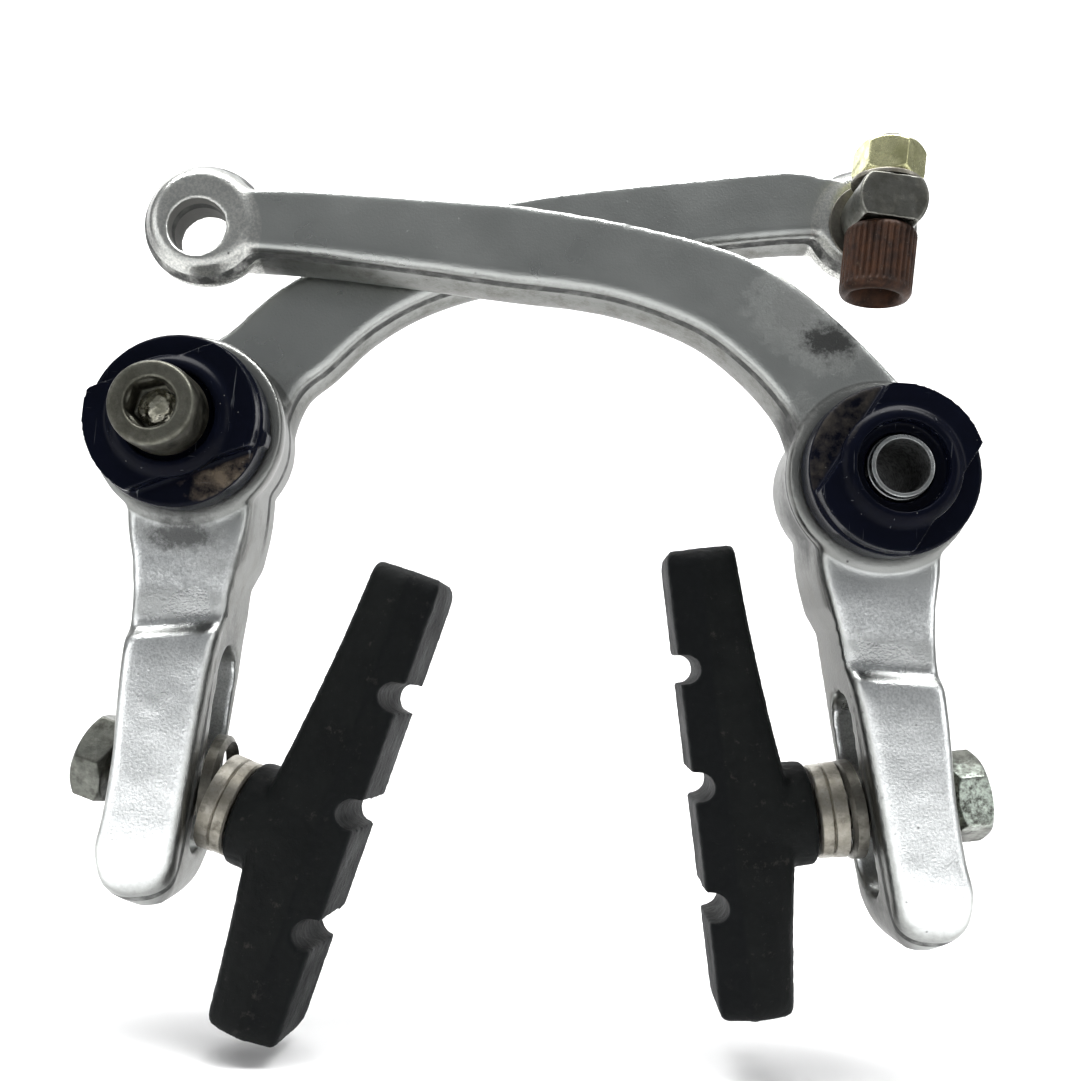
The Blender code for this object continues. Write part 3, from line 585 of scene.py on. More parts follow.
def make_cap(word):
    where = Matrix.Translation(joint_at(f"{word}_cap_turn")) @ turn_y(CAP_TURN[word])
    outline = ((0, CAP_BACK_Y), (CAP_R, CAP_BACK_Y), (CAP_R, CAP_STEP_Y), (0, CAP_STEP_Y))
    disc = lathe(rounded(outline, 0.35), 160)
    bar = prism(chord_outline(CAP_R - 0.35, CAP_BAR_HALF), CAP_STEP_Y + 1, CAP_BAR_Y)
    lip = lathe(((0, CAP_BAR_Y + 1), (7.3, CAP_BAR_Y + 1), (7.3, CAP_BAR_Y - 0.05), (6.7, CAP_LIP_Y + 0.25),
                 (6.2, CAP_LIP_Y), (0, CAP_LIP_Y)), 128)
    radius, end = CAP_SKIRT
    skirt = lathe(((6.9, CAP_BACK_Y - 0.5), (radius, CAP_BACK_Y - 0.5), (radius, end), (6.9, end)), 128)
    nub = prism([(CAP_R - 1.0, -0.9), (CAP_R + 0.5, -0.9), (CAP_R + 0.5, 0.9), (CAP_R - 1.0, 0.9)],
                CAP_STEP_Y + 0.5, CAP_BACK_Y - 1)
    turned(nub, turn_y(-CAP_NUB_AT))
    radius, floor = CAP_WELL
    cutters = [lathe(((0, floor), (radius, floor), (radius, 0), (0, 0)), 96),
               lathe(((0, -30), (CAP_BORE_R, -30), (CAP_BORE_R, 0), (0, 0)), 96)]
    radius, floor = CAP_RECESS
    cutters.append(lathe(((0, -30), (radius, -30), (radius, floor), (0, floor)), 96))
    cap = forge(f"{word}_moulded_cap", [disc, bar, lip, skirt, nub], cutters, CAP_VOXEL, 2, where)
    return finish_piece(cap, f"{word}_cap_body", cap_look[word], f"{word}_spring_cap")


def make_sleeve(word):
    where = Matrix.Translation(joint_at(f"{word}_arm_swing"))
    profile = ((SLEEVE_BORE_R, 0), (FLANGE_R, 0), (FLANGE_R, -FLANGE_THICK), (SLEEVE_R, -FLANGE_THICK),
               (SLEEVE_R, SLEEVE_SHOULDER_Y),
               (NECK_R, SLEEVE_SHOULDER_Y), (NECK_R, SLEEVE_END_Y + 1.0), (NECK_R - 0.25, SLEEVE_END_Y + 0.9),
               (NECK_R - 0.25, SLEEVE_END_Y), (BOLT_WAY_R, SLEEVE_END_Y),
               (BOLT_WAY_R, SLEEVE_SHOULDER_Y - 0.8), (SLEEVE_BORE_R, SLEEVE_SHOULDER_Y - 0.8))
    add_piece(f"{word}_turned_sleeve", lathe(rounded(profile, 0.16, 3), 128), where, 35, "pivot_hardware",
              sleeve_look[word], f"{word}_pivot_sleeve")


def make_bolt():
    where = Matrix.Translation(joint_at("left_arm_swing"))
    low, high = BOLT_HEAD_Y
    head = lathe(rounded(((0, low), (BOLT_HEAD_R - 0.2, low), (BOLT_HEAD_R, low + 1.2), (BOLT_HEAD_R, high),
                          (BOLT_SHANK_R, high), (BOLT_SHANK_R, BOLT_END_Y), (0, BOLT_END_Y)), 0.7), 128)
    key = HEX_KEY / 2
    dish = lathe(((0, low - 1), (key + 0.9, low - 1), (key + 0.2, low + 0.75), (0, low + 0.75)), 64)
    socket = prism(polygon(6, HEX_KEY, 0.3), low - 1, low + SOCKET_DEPTH)
    bolt = forge("left_socket_bolt", [head], [dish, socket], 0.16, 3, where)
    return finish_piece(bolt, "pivot_hardware", bolt_look, "left_pivot_bolt")


def make_socket_crust():
    """Corroded lump of bright metal at the bottom of the bolt's socket."""
    bm = bmesh.new()
    bmesh.ops.create_icosphere(bm, subdivisions=5, radius=1.0)
    for vertex in bm.verts:
        rough = 0.16 * noise.fractal(vertex.co * 2.1, 0.7, 2.3, 4) + 0.05 * noise.noise(vertex.co * 9)
        vertex.co = vertex.co * (1 + rough)
        vertex.co.x *= 2.25
        vertex.co.z *= 2.15
        vertex.co.y *= 0.8
    pivot = joint_at("left_arm_swing")
    floor = pivot + Vector((0, BOLT_HEAD_Y[0] + SOCKET_DEPTH, 0))
    crust = place_mesh("left_socket_crust", bm, Matrix.Translation(floor))
    shade(crust)
    return finish_piece(crust, "pivot_hardware", crust_look)


# pads and their clamps


def stud_frame(word):
    """Mid-leg at the stud, with X out along it, from the joint that the pad twists about."""
    name = f"{word}_pad_twist"
    x = Vector(joints[name]["axis"]).normalized()
    z = x.cross(Vector((0, 1, 0))).normalized()
    if z.z < 0:
        z = -z
    return axes_at(joint_at(name), x, z.cross(x), z)


def slider_frame(word, side):
    """Mid-leg at the stud, with X out square to the leg."""
    lean = 0 if side > 0 else REAR_ARM_TURN
    spot = joint_at(f"{word}_pad_tilt")
    tilt = math.radians(LEG_TILT - lean)
    x = Vector((side * math.cos(tilt), 0, math.sin(tilt)))
    z = Vector((-x.z, 0, x.x)) * side
    return axes_at(spot - x * INNER_DOME[1], x, z.cross(x), z)


def pad_depth(z):
    if z > 0:
        return 8.9 + 3.4 * max(0.0, 1.0 - z / 36.0) ** 1.6
    return 8.6 + 3.7 * max(0.0, 1.0 + z / 30.0) ** 1.4


def pad_rings():
    low, high = -PAD_BELOW_STUD, PAD_LENGTH - PAD_BELOW_STUD
    rings = []
    for z in np.linspace(low, high, 90):
        end = min(z - low, high - z)
        s = 1.0 if end > 2.4 else 0.70 + 0.30 * math.sqrt(max(0.0, 1 - (1 - end / 2.4) ** 2))
        depth = pad_depth(z)
        face, ridge, rear = PAD_FACE_HALF * s, PAD_RIDGE_HALF * s, PAD_BACK_HALF * s
        lead = (1 - s) * 2.4
        half = [(lead, 0), (lead, face - 0.5), (lead + 0.3, face), (PAD_RIDGE_IN - 0.5, ridge - 0.35),
                (PAD_RIDGE_IN, ridge), (PAD_RIDGE_IN + 0.7, ridge - 0.05), (depth - 2.2, rear + 0.1),
                (depth - 0.8, rear - 0.5), (depth - 0.1, rear - 1.6), (depth, 0)]
        ring = half + [(x, -y) for x, y in reversed(half[1:-1])]
        rings.append([Vector((PAD_FACE_X + x, y, z)) for x, y in ring])
    return rings


def make_pad(word):
    where = stud_frame(word)
    boss = lathe(rounded(((0, PAD_REAR_X), (PAD_BOSS_R, PAD_REAR_X), (PAD_BOSS_R + 0.3, PAD_FACE_X + 7),
                          (0, PAD_FACE_X + 7)), 0.6), 96, "X")
    bore = STUD_R + 0.15
    cutters = [lathe(((0, PAD_FACE_X + 6), (bore, PAD_FACE_X + 6), (bore, 0), (0, 0)), 64, "X")]
    middle = PAD_LENGTH / 2 - PAD_BELOW_STUD
    for height in NOTCH_HEIGHTS:
        outline = [(b, a) for a, b in slot_outline(NOTCH_R, 6.0)]
        notch = prism(outline, -12, 12)
        cutters.append(translated(notch, (PAD_FACE_X + NOTCH_DEPTH - 6.0, 0, middle + height)))
    pad = forge(f"{word}_moulded_pad", [loft(pad_rings()), boss], cutters, PAD_VOXEL, 2, where)
    roughen(pad, 0.05, 1.3)
    return finish_piece(pad, f"{word}_pad_body", rubber[word], f"{word}_brake_pad")


def roughen(obj, height, scale):
    """Moves each point along its normal by a little noise, as a moulded or cast skin has."""
    mesh = obj.data
    normals = [vertex.normal.copy() for vertex in mesh.vertices]
    moved = []
    for vertex, normal in zip(mesh.vertices, normals):
        lift = noise.fractal(vertex.co / MM * scale, 0.8, 2.2, 3)
        moved.extend(vertex.co + normal * (lift * height * MM))
    mesh.vertices.foreach_set("co", moved)
    mesh.update()


def make_stud(word):
    profile = [(0, PAD_FACE_X + 8), (STUD_R, PAD_FACE_X + 8), (STUD_R, -9.5)]
    pitch = 0.9
    at = -9.5
    while at < STUD_END_X - 1.0:
        profile += [(STUD_R, at), (STUD_R - 0.28, at + pitch / 2)]
        at += pitch
    profile += [(STUD_R - 0.1, STUD_END_X - 0.6), (STUD_R - 0.7, STUD_END_X), (0, STUD_END_X)]
    add_piece(f"{word}_threaded_stud", lathe(profile, 64, "X"), stud_frame(word), 30, f"{word}_pad_body",
              stud_look, f"{word}_pad_stud")


def dome_arc(centre, radius, start, end, sign, steps=12):
    points = []
    for i in range(steps + 1):
        r = start + (end - start) * i / steps
        points.append((r, centre + sign * math.sqrt(radius ** 2 - r ** 2)))
    return points


def make_washers(word, side):
    radius, centre, hole, rim = INNER_DOME
    profile = [(hole, SEAT_X), (rim, SEAT_X)] + dome_arc(centre, radius, rim - 0.1, hole, -1)
    add_piece(f"{word}_inner_dome", lathe(profile, 96, "X"), slider_frame(word, side), 30,
              f"{word}_pad_slider", washer_look, f"{word}_pad_inner_domed_washer")
    radius, centre = INNER_DOME[0] + 0.3, INNER_DOME[1]
    hole = STUD_R + 0.25
    step = COLLAR_X + 1.5
    profile = [(hole, COLLAR_X), (COLLAR_R - 0.35, COLLAR_X), (COLLAR_R - 0.1, COLLAR_X + 0.25),
               (COLLAR_R - 0.1, step), (COLLAR_R - 0.3, step + 0.2), (COLLAR_R - 0.05, step + 0.4)]
    profile += dome_arc(centre, radius, COLLAR_R, hole, -1)
    add_piece(f"{word}_dished_collar", lathe(profile, 96, "X"), stud_frame(word), 30, f"{word}_pad_tilter",
              collar_look, f"{word}_pad_collar_washer")


def make_hex(name, across, span, bore, axis, start, where):
    """A hexagon nut with both ends chamfered and every edge eased."""
    low, high = span
    corner = across / 2 / math.cos(math.pi / 6)
    flat = across / 2 - 0.15
    edge = 0.75
    hexagon = place_mesh(name, prism(polygon(6, across, start), low, high, axis), where)
    shape = ((0, low - 0.01), (flat, low - 0.01), (corner + 0.05, low + edge), (corner + 0.05, high - edge),
             (flat, high + 0.01), (0, high + 0.01))
    cut(hexagon, [place_mesh(name + "_turn", lathe(shape, 128, axis), where)], "INTERSECT")
    hole = lathe(((0, low - 2), (bore, low - 2), (bore, high + 2), (0, high + 2)), 64, axis)
    cut(hexagon, [place_mesh(name + "_hole", hole, where)])
    voxelled(hexagon, 0.14)
    soften(hexagon, 0.5, 3)
    shade(hexagon)
    return hexagon


def make_pad_nut(word, side):
    start = math.pi / 6 if side > 0 else 0.0
    nut = make_hex(f"{word}_hex_nut", NUT_AF, NUT_X, STUD_R - 0.1, "X", start, stud_frame(word))
    return finish_piece(nut, f"{word}_pad_body", nut_look[word], f"{word}_pad_nut")


# cable anchor


def adjuster_frame():
    z = Vector(joints["barrel_turn"]["axis"]).normalized()
    y = Vector((0, 1, 0))
    return axes_at(joint_at("barrel_turn"), y.cross(z), y, z)


def post_frame():
    where = adjuster_frame()
    spot = joint_at("anchor_swivel")
    where.translation = Vector((spot.x, 0, spot.z))
    return where


def make_anchor_post():
    low, high = POST_HEAD_Y
    outline = ((0, low), (POST_HEAD_R, low), (POST_HEAD_R, high), (POST_R, high), (POST_R, POST_TAIL_Y),
               (0, POST_TAIL_Y))
    body = lathe(rounded(outline, 0.6), 96)
    cutters = [prism([(-8, a), (8, a), (8, b), (-8, b)], low - 2, high + 0.3)
               for a, b in ((POST_FLAT, POST_FLAT + 5), (-POST_FLAT - 5, -POST_FLAT))]
    middle = (low + high) / 2
    bore = lathe(((0, -12), (TUBE_R + 0.25, -12), (TUBE_R + 0.25, 12), (0, 12)), 64, "Z")
    cutters.append(translated(bore, (0, middle, 0)))
    post = forge("anchor_turned_post", [body], cutters, 0.18, 3, post_frame())
    finish_piece(post, "anchor_body", post_look, "anchor_post")
    radius, front, back = ANCHOR_WASHER
    profile = rounded(((POST_R + 0.2, front), (radius, front), (radius, back), (POST_R + 0.2, back)), 0.15, 3)
    add_piece("anchor_flat_washer", lathe(profile, 96), post_frame(), 35, "anchor_body", washer_look,
              "anchor_washer")


def knurl(radius, turn, at):
    """Straight flutes round the outside of the barrel, fading out at its rounded ends."""
    if radius < BARREL_R - 0.6:
        return radius
    low, high = BARREL_Z
    fade = min(1.0, max(0.0, at - low - 0.9) / 0.6) * min(1.0, max(0.0, high - 0.5 - at) / 0.4)
    wave = 0.5 + 0.5 * math.cos(turn * KNURLS)
    return radius - 0.24 * fade * wave ** 2


def make_barrel():
    low, high = BARREL_Z
    socket, depth = BARREL_SOCKET
    outside = [(socket + 0.5, low), (BARREL_R - 0.9, low), (BARREL_R - 0.35, low + 0.2)]
    outside.append((BARREL_R - 0.1, low + 0.6))
    outside += [(BARREL_R, low + 0.9 + (high - low - 1.6) * i / 24) for i in range(25)]
    outside += [(BARREL_R - 0.15, high - 0.3), (BARREL_R - 0.5, high)]
    inside = [(BARREL_BORE_R, high), (BARREL_BORE_R, low + depth), (socket, low + depth), (socket, low + 0.5)]
    bm = lathe(outside + inside, KNURLS * 10, "Z", knurl)
    add_piece("adjuster_knurled_barrel", bm, adjuster_frame(), 50, "adjuster_barrel_body", barrel_look,
              "adjuster_barrel")


def make_tube():
    low, high = TUBE_Z
    profile = [(TUBE_WAY_R, low), (TUBE_R - 0.2, low)]
    at = low + 0.2
    while at < high - 1.3:
        profile += [(TUBE_R, at), (TUBE_R - 0.2, at + 0.4)]
        at += 0.8
    profile += [(TUBE_R - 0.1, high - 1.0), (TUBE_R - 0.5, high - 0.35), (TUBE_R - 0.9, high)]
    profile.append((TUBE_WAY_R, high))
    add_piece("adjuster_threaded_tube", lathe(profile, 64, "Z"), adjuster_frame(), 30, "adjuster_tube_body",
              washer_look, "adjuster_tube")
    radius, low, high = LOCK_WASHER
    profile = rounded(((TUBE_R + 0.2, low), (radius, low), (radius, high), (TUBE_R + 0.2, high)), 0.15, 3)
    add_piece("adjuster_flat_washer", lathe(profile, 96, "Z"), adjuster_frame(), 35, "anchor_body",
              collar_look, "adjuster_washer")
    nut = make_hex("adjuster_hex_nut", LOCK_NUT_AF, LOCK_NUT_Z, TUBE_R, "Z", LOCK_NUT_TURN, adjuster_frame())
    finish_piece(nut, "adjuster_lock_nut_body", yellow_look, "adjuster_lock_nut")


# materials


class Look:
    """A Principled material and short ways to add procedural detail to it, sized in millimetres."""

    def __init__(self, name):
        self.material = bpy.data.materials.new(name)
        self.material.use_nodes = True
        self.tree = self.material.node_tree
        self.shader = self.tree.nodes["Principled BSDF"]
        self.point = self.tree.nodes.new("ShaderNodeTexCoord").outputs["Object"]
        self.normal = None

    def node(self, kind, **inputs):
        made = self.tree.nodes.new(kind)
        for name, value in inputs.items():
            self.plug(made.inputs[name.replace("_", " ")], value)
        return made

    def plug(self, socket, value):
        if isinstance(value, bpy.types.NodeSocket):
            self.tree.links.new(value, socket)
        else:
            socket.default_value = value

    def scaled(self, stretch=(1, 1, 1), turn=(0, 0, 0)):
        mapping = self.node("ShaderNodeMapping", Vector=self.point)
        mapping.inputs["Scale"].default_value = stretch
        mapping.inputs["Rotation"].default_value = [math.radians(a) for a in turn]
        return mapping.outputs["Vector"]

    def noise(self, size, detail=4.0, rough=0.55, stretch=(1, 1, 1), turn=(0, 0, 0)):
        """Noise whose features are about this many millimetres across."""
        return self.node("ShaderNodeTexNoise", Vector=self.scaled(stretch, turn), Scale=1000.0 / size,
                         Detail=detail, Roughness=rough).outputs["Fac"]

    def cells(self, size):
        made = self.node("ShaderNodeTexVoronoi", Vector=self.scaled(), Scale=1000.0 / size)
        return made.outputs["Distance"]

    def ramp(self, value, low, high, start=0.0, end=1.0):
        made = self.node("ShaderNodeMapRange", Value=value)
        for name, number in (("From Min", low), ("From Max", high), ("To Min", start), ("To Max", end)):
            made.inputs[name].default_value = number
        return made.outputs["Result"]

    def maths(self, operation, a, b):
        made = self.tree.nodes.new("ShaderNodeMath")
        made.operation = operation
        self.plug(made.inputs[0], a)
        self.plug(made.inputs[1], b)
        made.use_clamp = operation in ("MULTIPLY", "ADD", "SUBTRACT")
        return made.outputs[0]

    def times(self, a, b):
        return self.maths("MULTIPLY", a, b)

    def vectors(self, operation, a, b=(0, 0, 0)):
        made = self.tree.nodes.new("ShaderNodeVectorMath")
        made.operation = operation
        self.plug(made.inputs[0], a)
        self.plug(made.inputs[1], b)
        return made.outputs["Value" if operation in ("LENGTH", "DOT_PRODUCT") else "Vector"]

    def mix(self, factor, first, second):
        made = self.tree.nodes.new("ShaderNodeMix")
        made.data_type = "RGBA"
        self.plug(made.inputs["Factor"], factor)
        for slot, colour in ((6, first), (7, second)):
            plain = not isinstance(colour, bpy.types.NodeSocket)
            self.plug(made.inputs[slot], (*colour, 1.0) if plain else colour)
        return made.outputs[2]

    def near(self, centre, radius, wobble, squash=(1, 1, 1)):
        """1 near a point given in millimetres, falling to 0 at the radius, with a ragged edge from wobble."""
        shift = self.vectors("SUBTRACT", self.point, [c * MM for c in centre])
        value = self.vectors("LENGTH", self.vectors("MULTIPLY", shift, [s / (radius * MM) for s in squash]))
        made = self.tree.nodes.new("ShaderNodeMath")
        made.operation = "ADD"
        self.plug(made.inputs[0], value)
        self.plug(made.inputs[1], self.ramp(wobble, 0.3, 0.7, -0.28, 0.28))
        return self.ramp(made.outputs[0], 1.05, 0.35)

    def beyond(self, direction, centre, distance, fade=0.3):
        """1 where the point is further than a distance, in millimetres, from the centre along a direction."""
        direction = Vector(direction).normalized()
        start = (Vector(centre).dot(direction) + distance) * MM
        return self.ramp(self.vectors("DOT_PRODUCT", self.point, direction), start, start + fade * MM)

    def tube(self, centre, radius, fade=0.25):
        """1 within a radius of a line along Y through the centre, in millimetres."""
        shift = self.vectors("SUBTRACT", self.point, [c * MM for c in centre])
        length = self.vectors("LENGTH", self.vectors("MULTIPLY", shift, (1, 0, 1)))
        return self.ramp(length, radius * MM, (radius - fade) * MM)

    def band(self, direction, low, high, fade=0.12):
        """1 between two distances from the origin along a direction, in millimetres."""
        over = self.beyond(direction, (0, 0, 0), low - fade, fade)
        return self.maths("SUBTRACT", over, self.beyond(direction, (0, 0, 0), high, fade))

    def facing(self, direction):
        """How far the surface itself faces a fixed direction of the object, from -1 to 1."""
        normal = self.tree.nodes.new("ShaderNodeNewGeometry").outputs["Normal"]
        return self.vectors("DOT_PRODUCT", normal, Vector(direction).normalized())

    def bump(self, height, strength, depth):
        """Adds relief of a depth in millimetres on top of any there already."""
        made = self.node("ShaderNodeBump", Height=height, Strength=strength, Distance=depth * MM)
        if self.normal is not None:
            self.tree.links.new(self.normal, made.inputs["Normal"])
        self.normal = made.outputs["Normal"]

    def finish(self, colour, roughness, metallic, **more):
        self.plug(self.shader.inputs["Base Color"], colour)
        self.plug(self.shader.inputs["Roughness"], roughness)
        self.plug(self.shader.inputs["Metallic"], metallic)
        for name, value in more.items():
            self.plug(self.shader.inputs[name.replace("_", " ")], value)
        if self.normal is not None:
            self.tree.links.new(self.normal, self.shader.inputs["Normal"])
        return self.material


def alloy_look(name, stains, pivot, eye, hole_r, crease_y, leg_side_shade):
    """Forged alloy: satin flats, frosted legs with a painted highlight on their front faces, rougher sides,
    painted shade on the sides, round the cap, in the cove, in the eye hole and along the creases, pits and
    ground-in dirt.
    """
    look = Look(name)
    mottle = look.noise(9.0, 3.0)
    grit = look.noise(0.32, 2.0, 0.7)
    pits = look.ramp(look.cells(2.2), 0.10, 0.02)
    scratch = look.ramp(look.noise(0.35, 2.0, 0.6, (1, 1, 0.06), (0, 25, 0)), 0.66, 0.72)
    front = look.facing((0, -1, 0))
    leg = look.beyond((0, 0, -1), pivot, 10.0, 5.0)
    # frosted finish on the legs, painted near white only on the faces turned to the front: finish and painted
    # highlight together
    frosted_with_highlight = look.times(leg, look.ramp(front, 0.7, 0.95))
    base = look.mix(mottle, (0.375, 0.39, 0.378), (0.45, 0.465, 0.452))
    base = look.mix(frosted_with_highlight, base, (0.93, 0.95, 0.95))
    sparkle = look.times(frosted_with_highlight, look.ramp(grit, 0.35, 0.65, 0.0, 0.8))
    base = look.mix(sparkle, base, (0.58, 0.60, 0.60))
    # painted shade in patches on faces turned a little away from the front
    patchy = look.ramp(look.noise(0.9, 4.0, 0.7), 0.38, 0.66, 0.45, 1.0)
    flank_shade = look.times(look.ramp(front, 0.93, 0.7), patchy)
    base = look.mix(flank_shade, base, (0.30, 0.305, 0.295))
    # painted shade across the concave cove, a band of heights
    cove_shade = look.times(look.band((0, 0, -1), *COVE_Z, 1.6), look.ramp(mottle, 0.3, 0.6, 0.5, 0.9))
    base = look.mix(cove_shade, base, (0.33, 0.34, 0.335))
    # painted shade: faces turned sideways from the front are darkened, the legs' sides to their own painted
    # shade colour
    side = look.ramp(front, 0.5, 0.18)
    base = look.mix(side, base, (0.15, 0.153, 0.145))
    base = look.mix(look.times(side, leg), base, leg_side_shade)
    # patchy wear on the sides, painted darker still over their painted shade
    worn_side_shade = look.times(side, look.ramp(look.noise(3.0, 5.0, 0.75), 0.46, 0.66, 0.0, 0.8))
    base = look.mix(worn_side_shade, base, (0.085, 0.083, 0.072))
    # painted shade round the cap: the boss under and around it is darkened, most where it faces sideways
    boss = look.times(look.tube(pivot, BOSS_R + 0.4), look.ramp(front, 0.2, 0.9, 1.0, 0.75))
    base = look.mix(boss, base, (0.15, 0.152, 0.145))
    ring = look.times(look.tube(eye, EYE_R + 0.2), look.ramp(grit, 0.40, 0.62, 0.15, 0.95))
    base = look.mix(ring, base, (0.60, 0.60, 0.57))
    # painted shade inside the eye's hole, dark, rough and not metallic
    hole_shade = look.times(look.tube(eye, hole_r + 0.35), look.ramp(front, 0.6, 0.3))
    base = look.mix(hole_shade, base, (0.10, 0.10, 0.092))
    # painted shade along the creases of the legs and of the arm's lower side
    crease = look.maths("ADD", look.times(leg, look.band((0, 1, 0), -14.5, -13.7)),
                        look.times(look.maths("SUBTRACT", 1.0, leg),
                                   look.band((0, 1, 0), crease_y - 0.35, crease_y + 0.8)))
    crease = look.times(crease, look.ramp(look.noise(2.0, 3.0, 0.6), 0.3, 0.55, 0.35, 0.95))
    crease = look.times(crease, look.ramp(front, 0.9, 0.6))
    # pits and ground-in dirt together with the painted crease shade; the stains below are real dirt
    darkening = look.maths("MAXIMUM", look.times(pits, look.ramp(mottle, 0.5, 0.62, 0.0, 0.8)), crease)
    edge = look.noise(1.4, 4.0, 0.75)
    for centre, radius, strength, squash in stains:
        spot = look.near(centre, radius, edge, squash)
        darkening = look.maths("MAXIMUM", darkening, look.times(spot, strength))
    base = look.mix(darkening, base, (0.016, 0.017, 0.016))
    look.bump(grit, 0.9, 0.045)
    look.bump(look.noise(1.6, 3.0), 0.35, 0.06)
    look.bump(look.times(frosted_with_highlight, look.noise(8.0, 2.0)), 0.6, 0.5)
    look.bump(scratch, 0.25, 0.02)
    look.bump(pits, 0.4, 0.05)
    rough = look.ramp(mottle, 0.3, 0.7, 0.26, 0.34)
    rough = look.maths("ADD", rough, look.times(side, 0.12))
    rough = look.maths("ADD", rough, look.times(darkening, 0.30))
    rough = look.maths("MAXIMUM", rough, look.times(hole_shade, 0.85))
    metal = look.maths("SUBTRACT", 1.0, look.times(look.maths("MAXIMUM", darkening, hole_shade), 0.92))
    return look.finish(base, rough, metal)


def cap_material(name, pivot, patch):
    """Gloss black plastic with a blue cast, hairline scratches, dust and one crusted patch."""
    look = Look(name)
    direction, distance, spot, reach, patch_strength, patch_colour = patch
    scratch = look.ramp(look.noise(0.5, 2.0, 0.5, (1, 1, 0.05), (0, 62, 0)), 0.70, 0.74)
    hair = look.ramp(look.noise(0.3, 2.0, 0.5, (0.05, 1, 1), (0, 35, 0)), 0.72, 0.75)
    dust = look.ramp(look.cells(1.7), 0.055, 0.02)
    patchy = look.times(look.beyond(direction, pivot, distance, 0.5),
                        look.ramp(look.noise(2.2, 5.0, 0.7), 0.38, 0.62))
    around = look.near(pivot + Vector(spot), reach, look.noise(1.2, 4.0), (1, 0, 1))
    patchy = look.times(patchy, around)
    patchy = look.times(patchy, look.ramp(look.facing((0, -1, 0)), 0.6, 0.9))
    base = look.mix(look.noise(6.0), (0.0018, 0.0022, 0.0045), (0.003, 0.004, 0.010))
    lines = look.times(look.maths("MAXIMUM", scratch, hair), 0.35)
    base = look.mix(lines, base, (0.16, 0.17, 0.18))
    base = look.mix(look.times(dust, 0.6), base, (0.22, 0.22, 0.21))
    base = look.mix(look.times(patchy, patch_strength), base, patch_colour)
    look.bump(look.noise(2.5, 2.0), 0.12, 0.05)
    look.bump(look.maths("MAXIMUM", scratch, dust), 0.3, 0.02)
    look.bump(look.times(patchy, look.noise(0.5, 4.0, 0.8)), 0.6, 0.15)
    rough = look.ramp(look.noise(4.0, 3.0), 0.35, 0.65, 0.17, 0.27)
    rough = look.maths("ADD", rough, look.times(patchy, 0.5))
    return look.finish(base, rough, 0.0, Specular_IOR_Level=0.05)


def metal_look(name, bright, dull, grime_and_shade, rough=(0.3, 0.5), grain=0.5, cover=0.5, bore=None, paint_side_shade=False,
               bloom=None):
    """A small steel part: two tones of plating, pitted, with patches of grime, and optionally painted shade
    on its sides and inside a sleeve's bore.
    """
    look = Look(name)
    tone = look.noise(2.6, 4.0, 0.65)
    speckle = look.noise(grain, 3.0, 0.7)
    base = look.mix(look.ramp(tone, 0.38, 0.62), bright, dull)
    darkening = look.times(look.ramp(look.noise(1.5, 5.0, 0.7), 0.62 - cover * 0.2, 0.72), 0.85)
    base = look.mix(darkening, base, grime_and_shade)
    base = look.mix(look.ramp(speckle, 0.62, 0.75, 0.0, 0.5), base, grime_and_shade)
    look.bump(speckle, 0.45, 0.07)
    look.bump(tone, 0.3, 0.08)
    roughness = look.maths("ADD", look.ramp(tone, 0.3, 0.7, *rough), look.times(darkening, 0.25))
    metal = look.maths("SUBTRACT", 1.0, look.times(darkening, 0.6))
    gloss = 0.5
    if bloom is not None:
        patch = look.near(bloom, 5.0, look.noise(1.0, 4.0, 0.7))
        patch = look.times(patch, look.ramp(speckle, 0.35, 0.6))
        base = look.mix(patch, base, (0.62, 0.70, 0.62))
    # painted shade: the sides turned from the front are darkened to the grime colour
    if paint_side_shade:
        base = look.mix(look.ramp(look.facing((0, -1, 0)), 0.55, 0.2, 0.0, 0.75), base, grime_and_shade)
    # painted shade inside the sleeve's bore: near black, rough, with no metal shine
    if bore is not None:
        wide_bore_shade = look.times(look.tube(bore, SLEEVE_BORE_R + 0.4),
                          look.beyond((0, 1, 0), (0, SLEEVE_SHOULDER_Y, 0), -2.5))
        inside = look.maths("MAXIMUM", look.tube(bore, BOLT_WAY_R + 0.12, 0.1), wide_bore_shade)
        inside = look.times(inside, look.ramp(speckle, 0.3, 0.6, 1.0, 0.9))
        base = look.mix(inside, base, (0.010, 0.010, 0.010))
        metal = look.times(metal, look.ramp(inside, 0.0, 1.0, 1.0, 0.0))
        roughness = look.maths("MAXIMUM", roughness, inside)
        gloss = look.ramp(inside, 0.0, 1.0, 0.5, 0.02)
    return look.finish(base, roughness, metal, Specular_IOR_Level=gloss)


def rubber_look(name, rimward):
    """Dry brake rubber: near black, gritty, with grey dust rubbed over the proud parts."""
    look = Look(name)
    grit = look.noise(0.35, 3.0, 0.75)
    blotch = look.noise(5.0, 4.0, 0.6)
    base = look.mix(look.ramp(blotch, 0.35, 0.65), (0.0028, 0.0036, 0.0037), (0.006, 0.007, 0.0068))
    dust = look.times(look.ramp(look.noise(1.8, 5.0, 0.75), 0.60, 0.72), 0.30)
    base = look.mix(dust, base, (0.07, 0.062, 0.055))
    base = look.mix(look.ramp(grit, 0.66, 0.74, 0.0, 0.45), base, (0.040, 0.040, 0.038))
    rim_side = look.ramp(look.facing((rimward, -0.4, 0)), 0.45, 0.75)
    base = look.mix(look.times(rim_side, 0.8), base, (0.0018, 0.0026, 0.0032))
    look.bump(grit, 0.55, 0.09)
    look.bump(look.noise(1.1, 3.0), 0.35, 0.12)
    return look.finish(base, look.ramp(blotch, 0.3, 0.7, 0.52, 0.72), 0.0, Specular_IOR_Level=0.09)


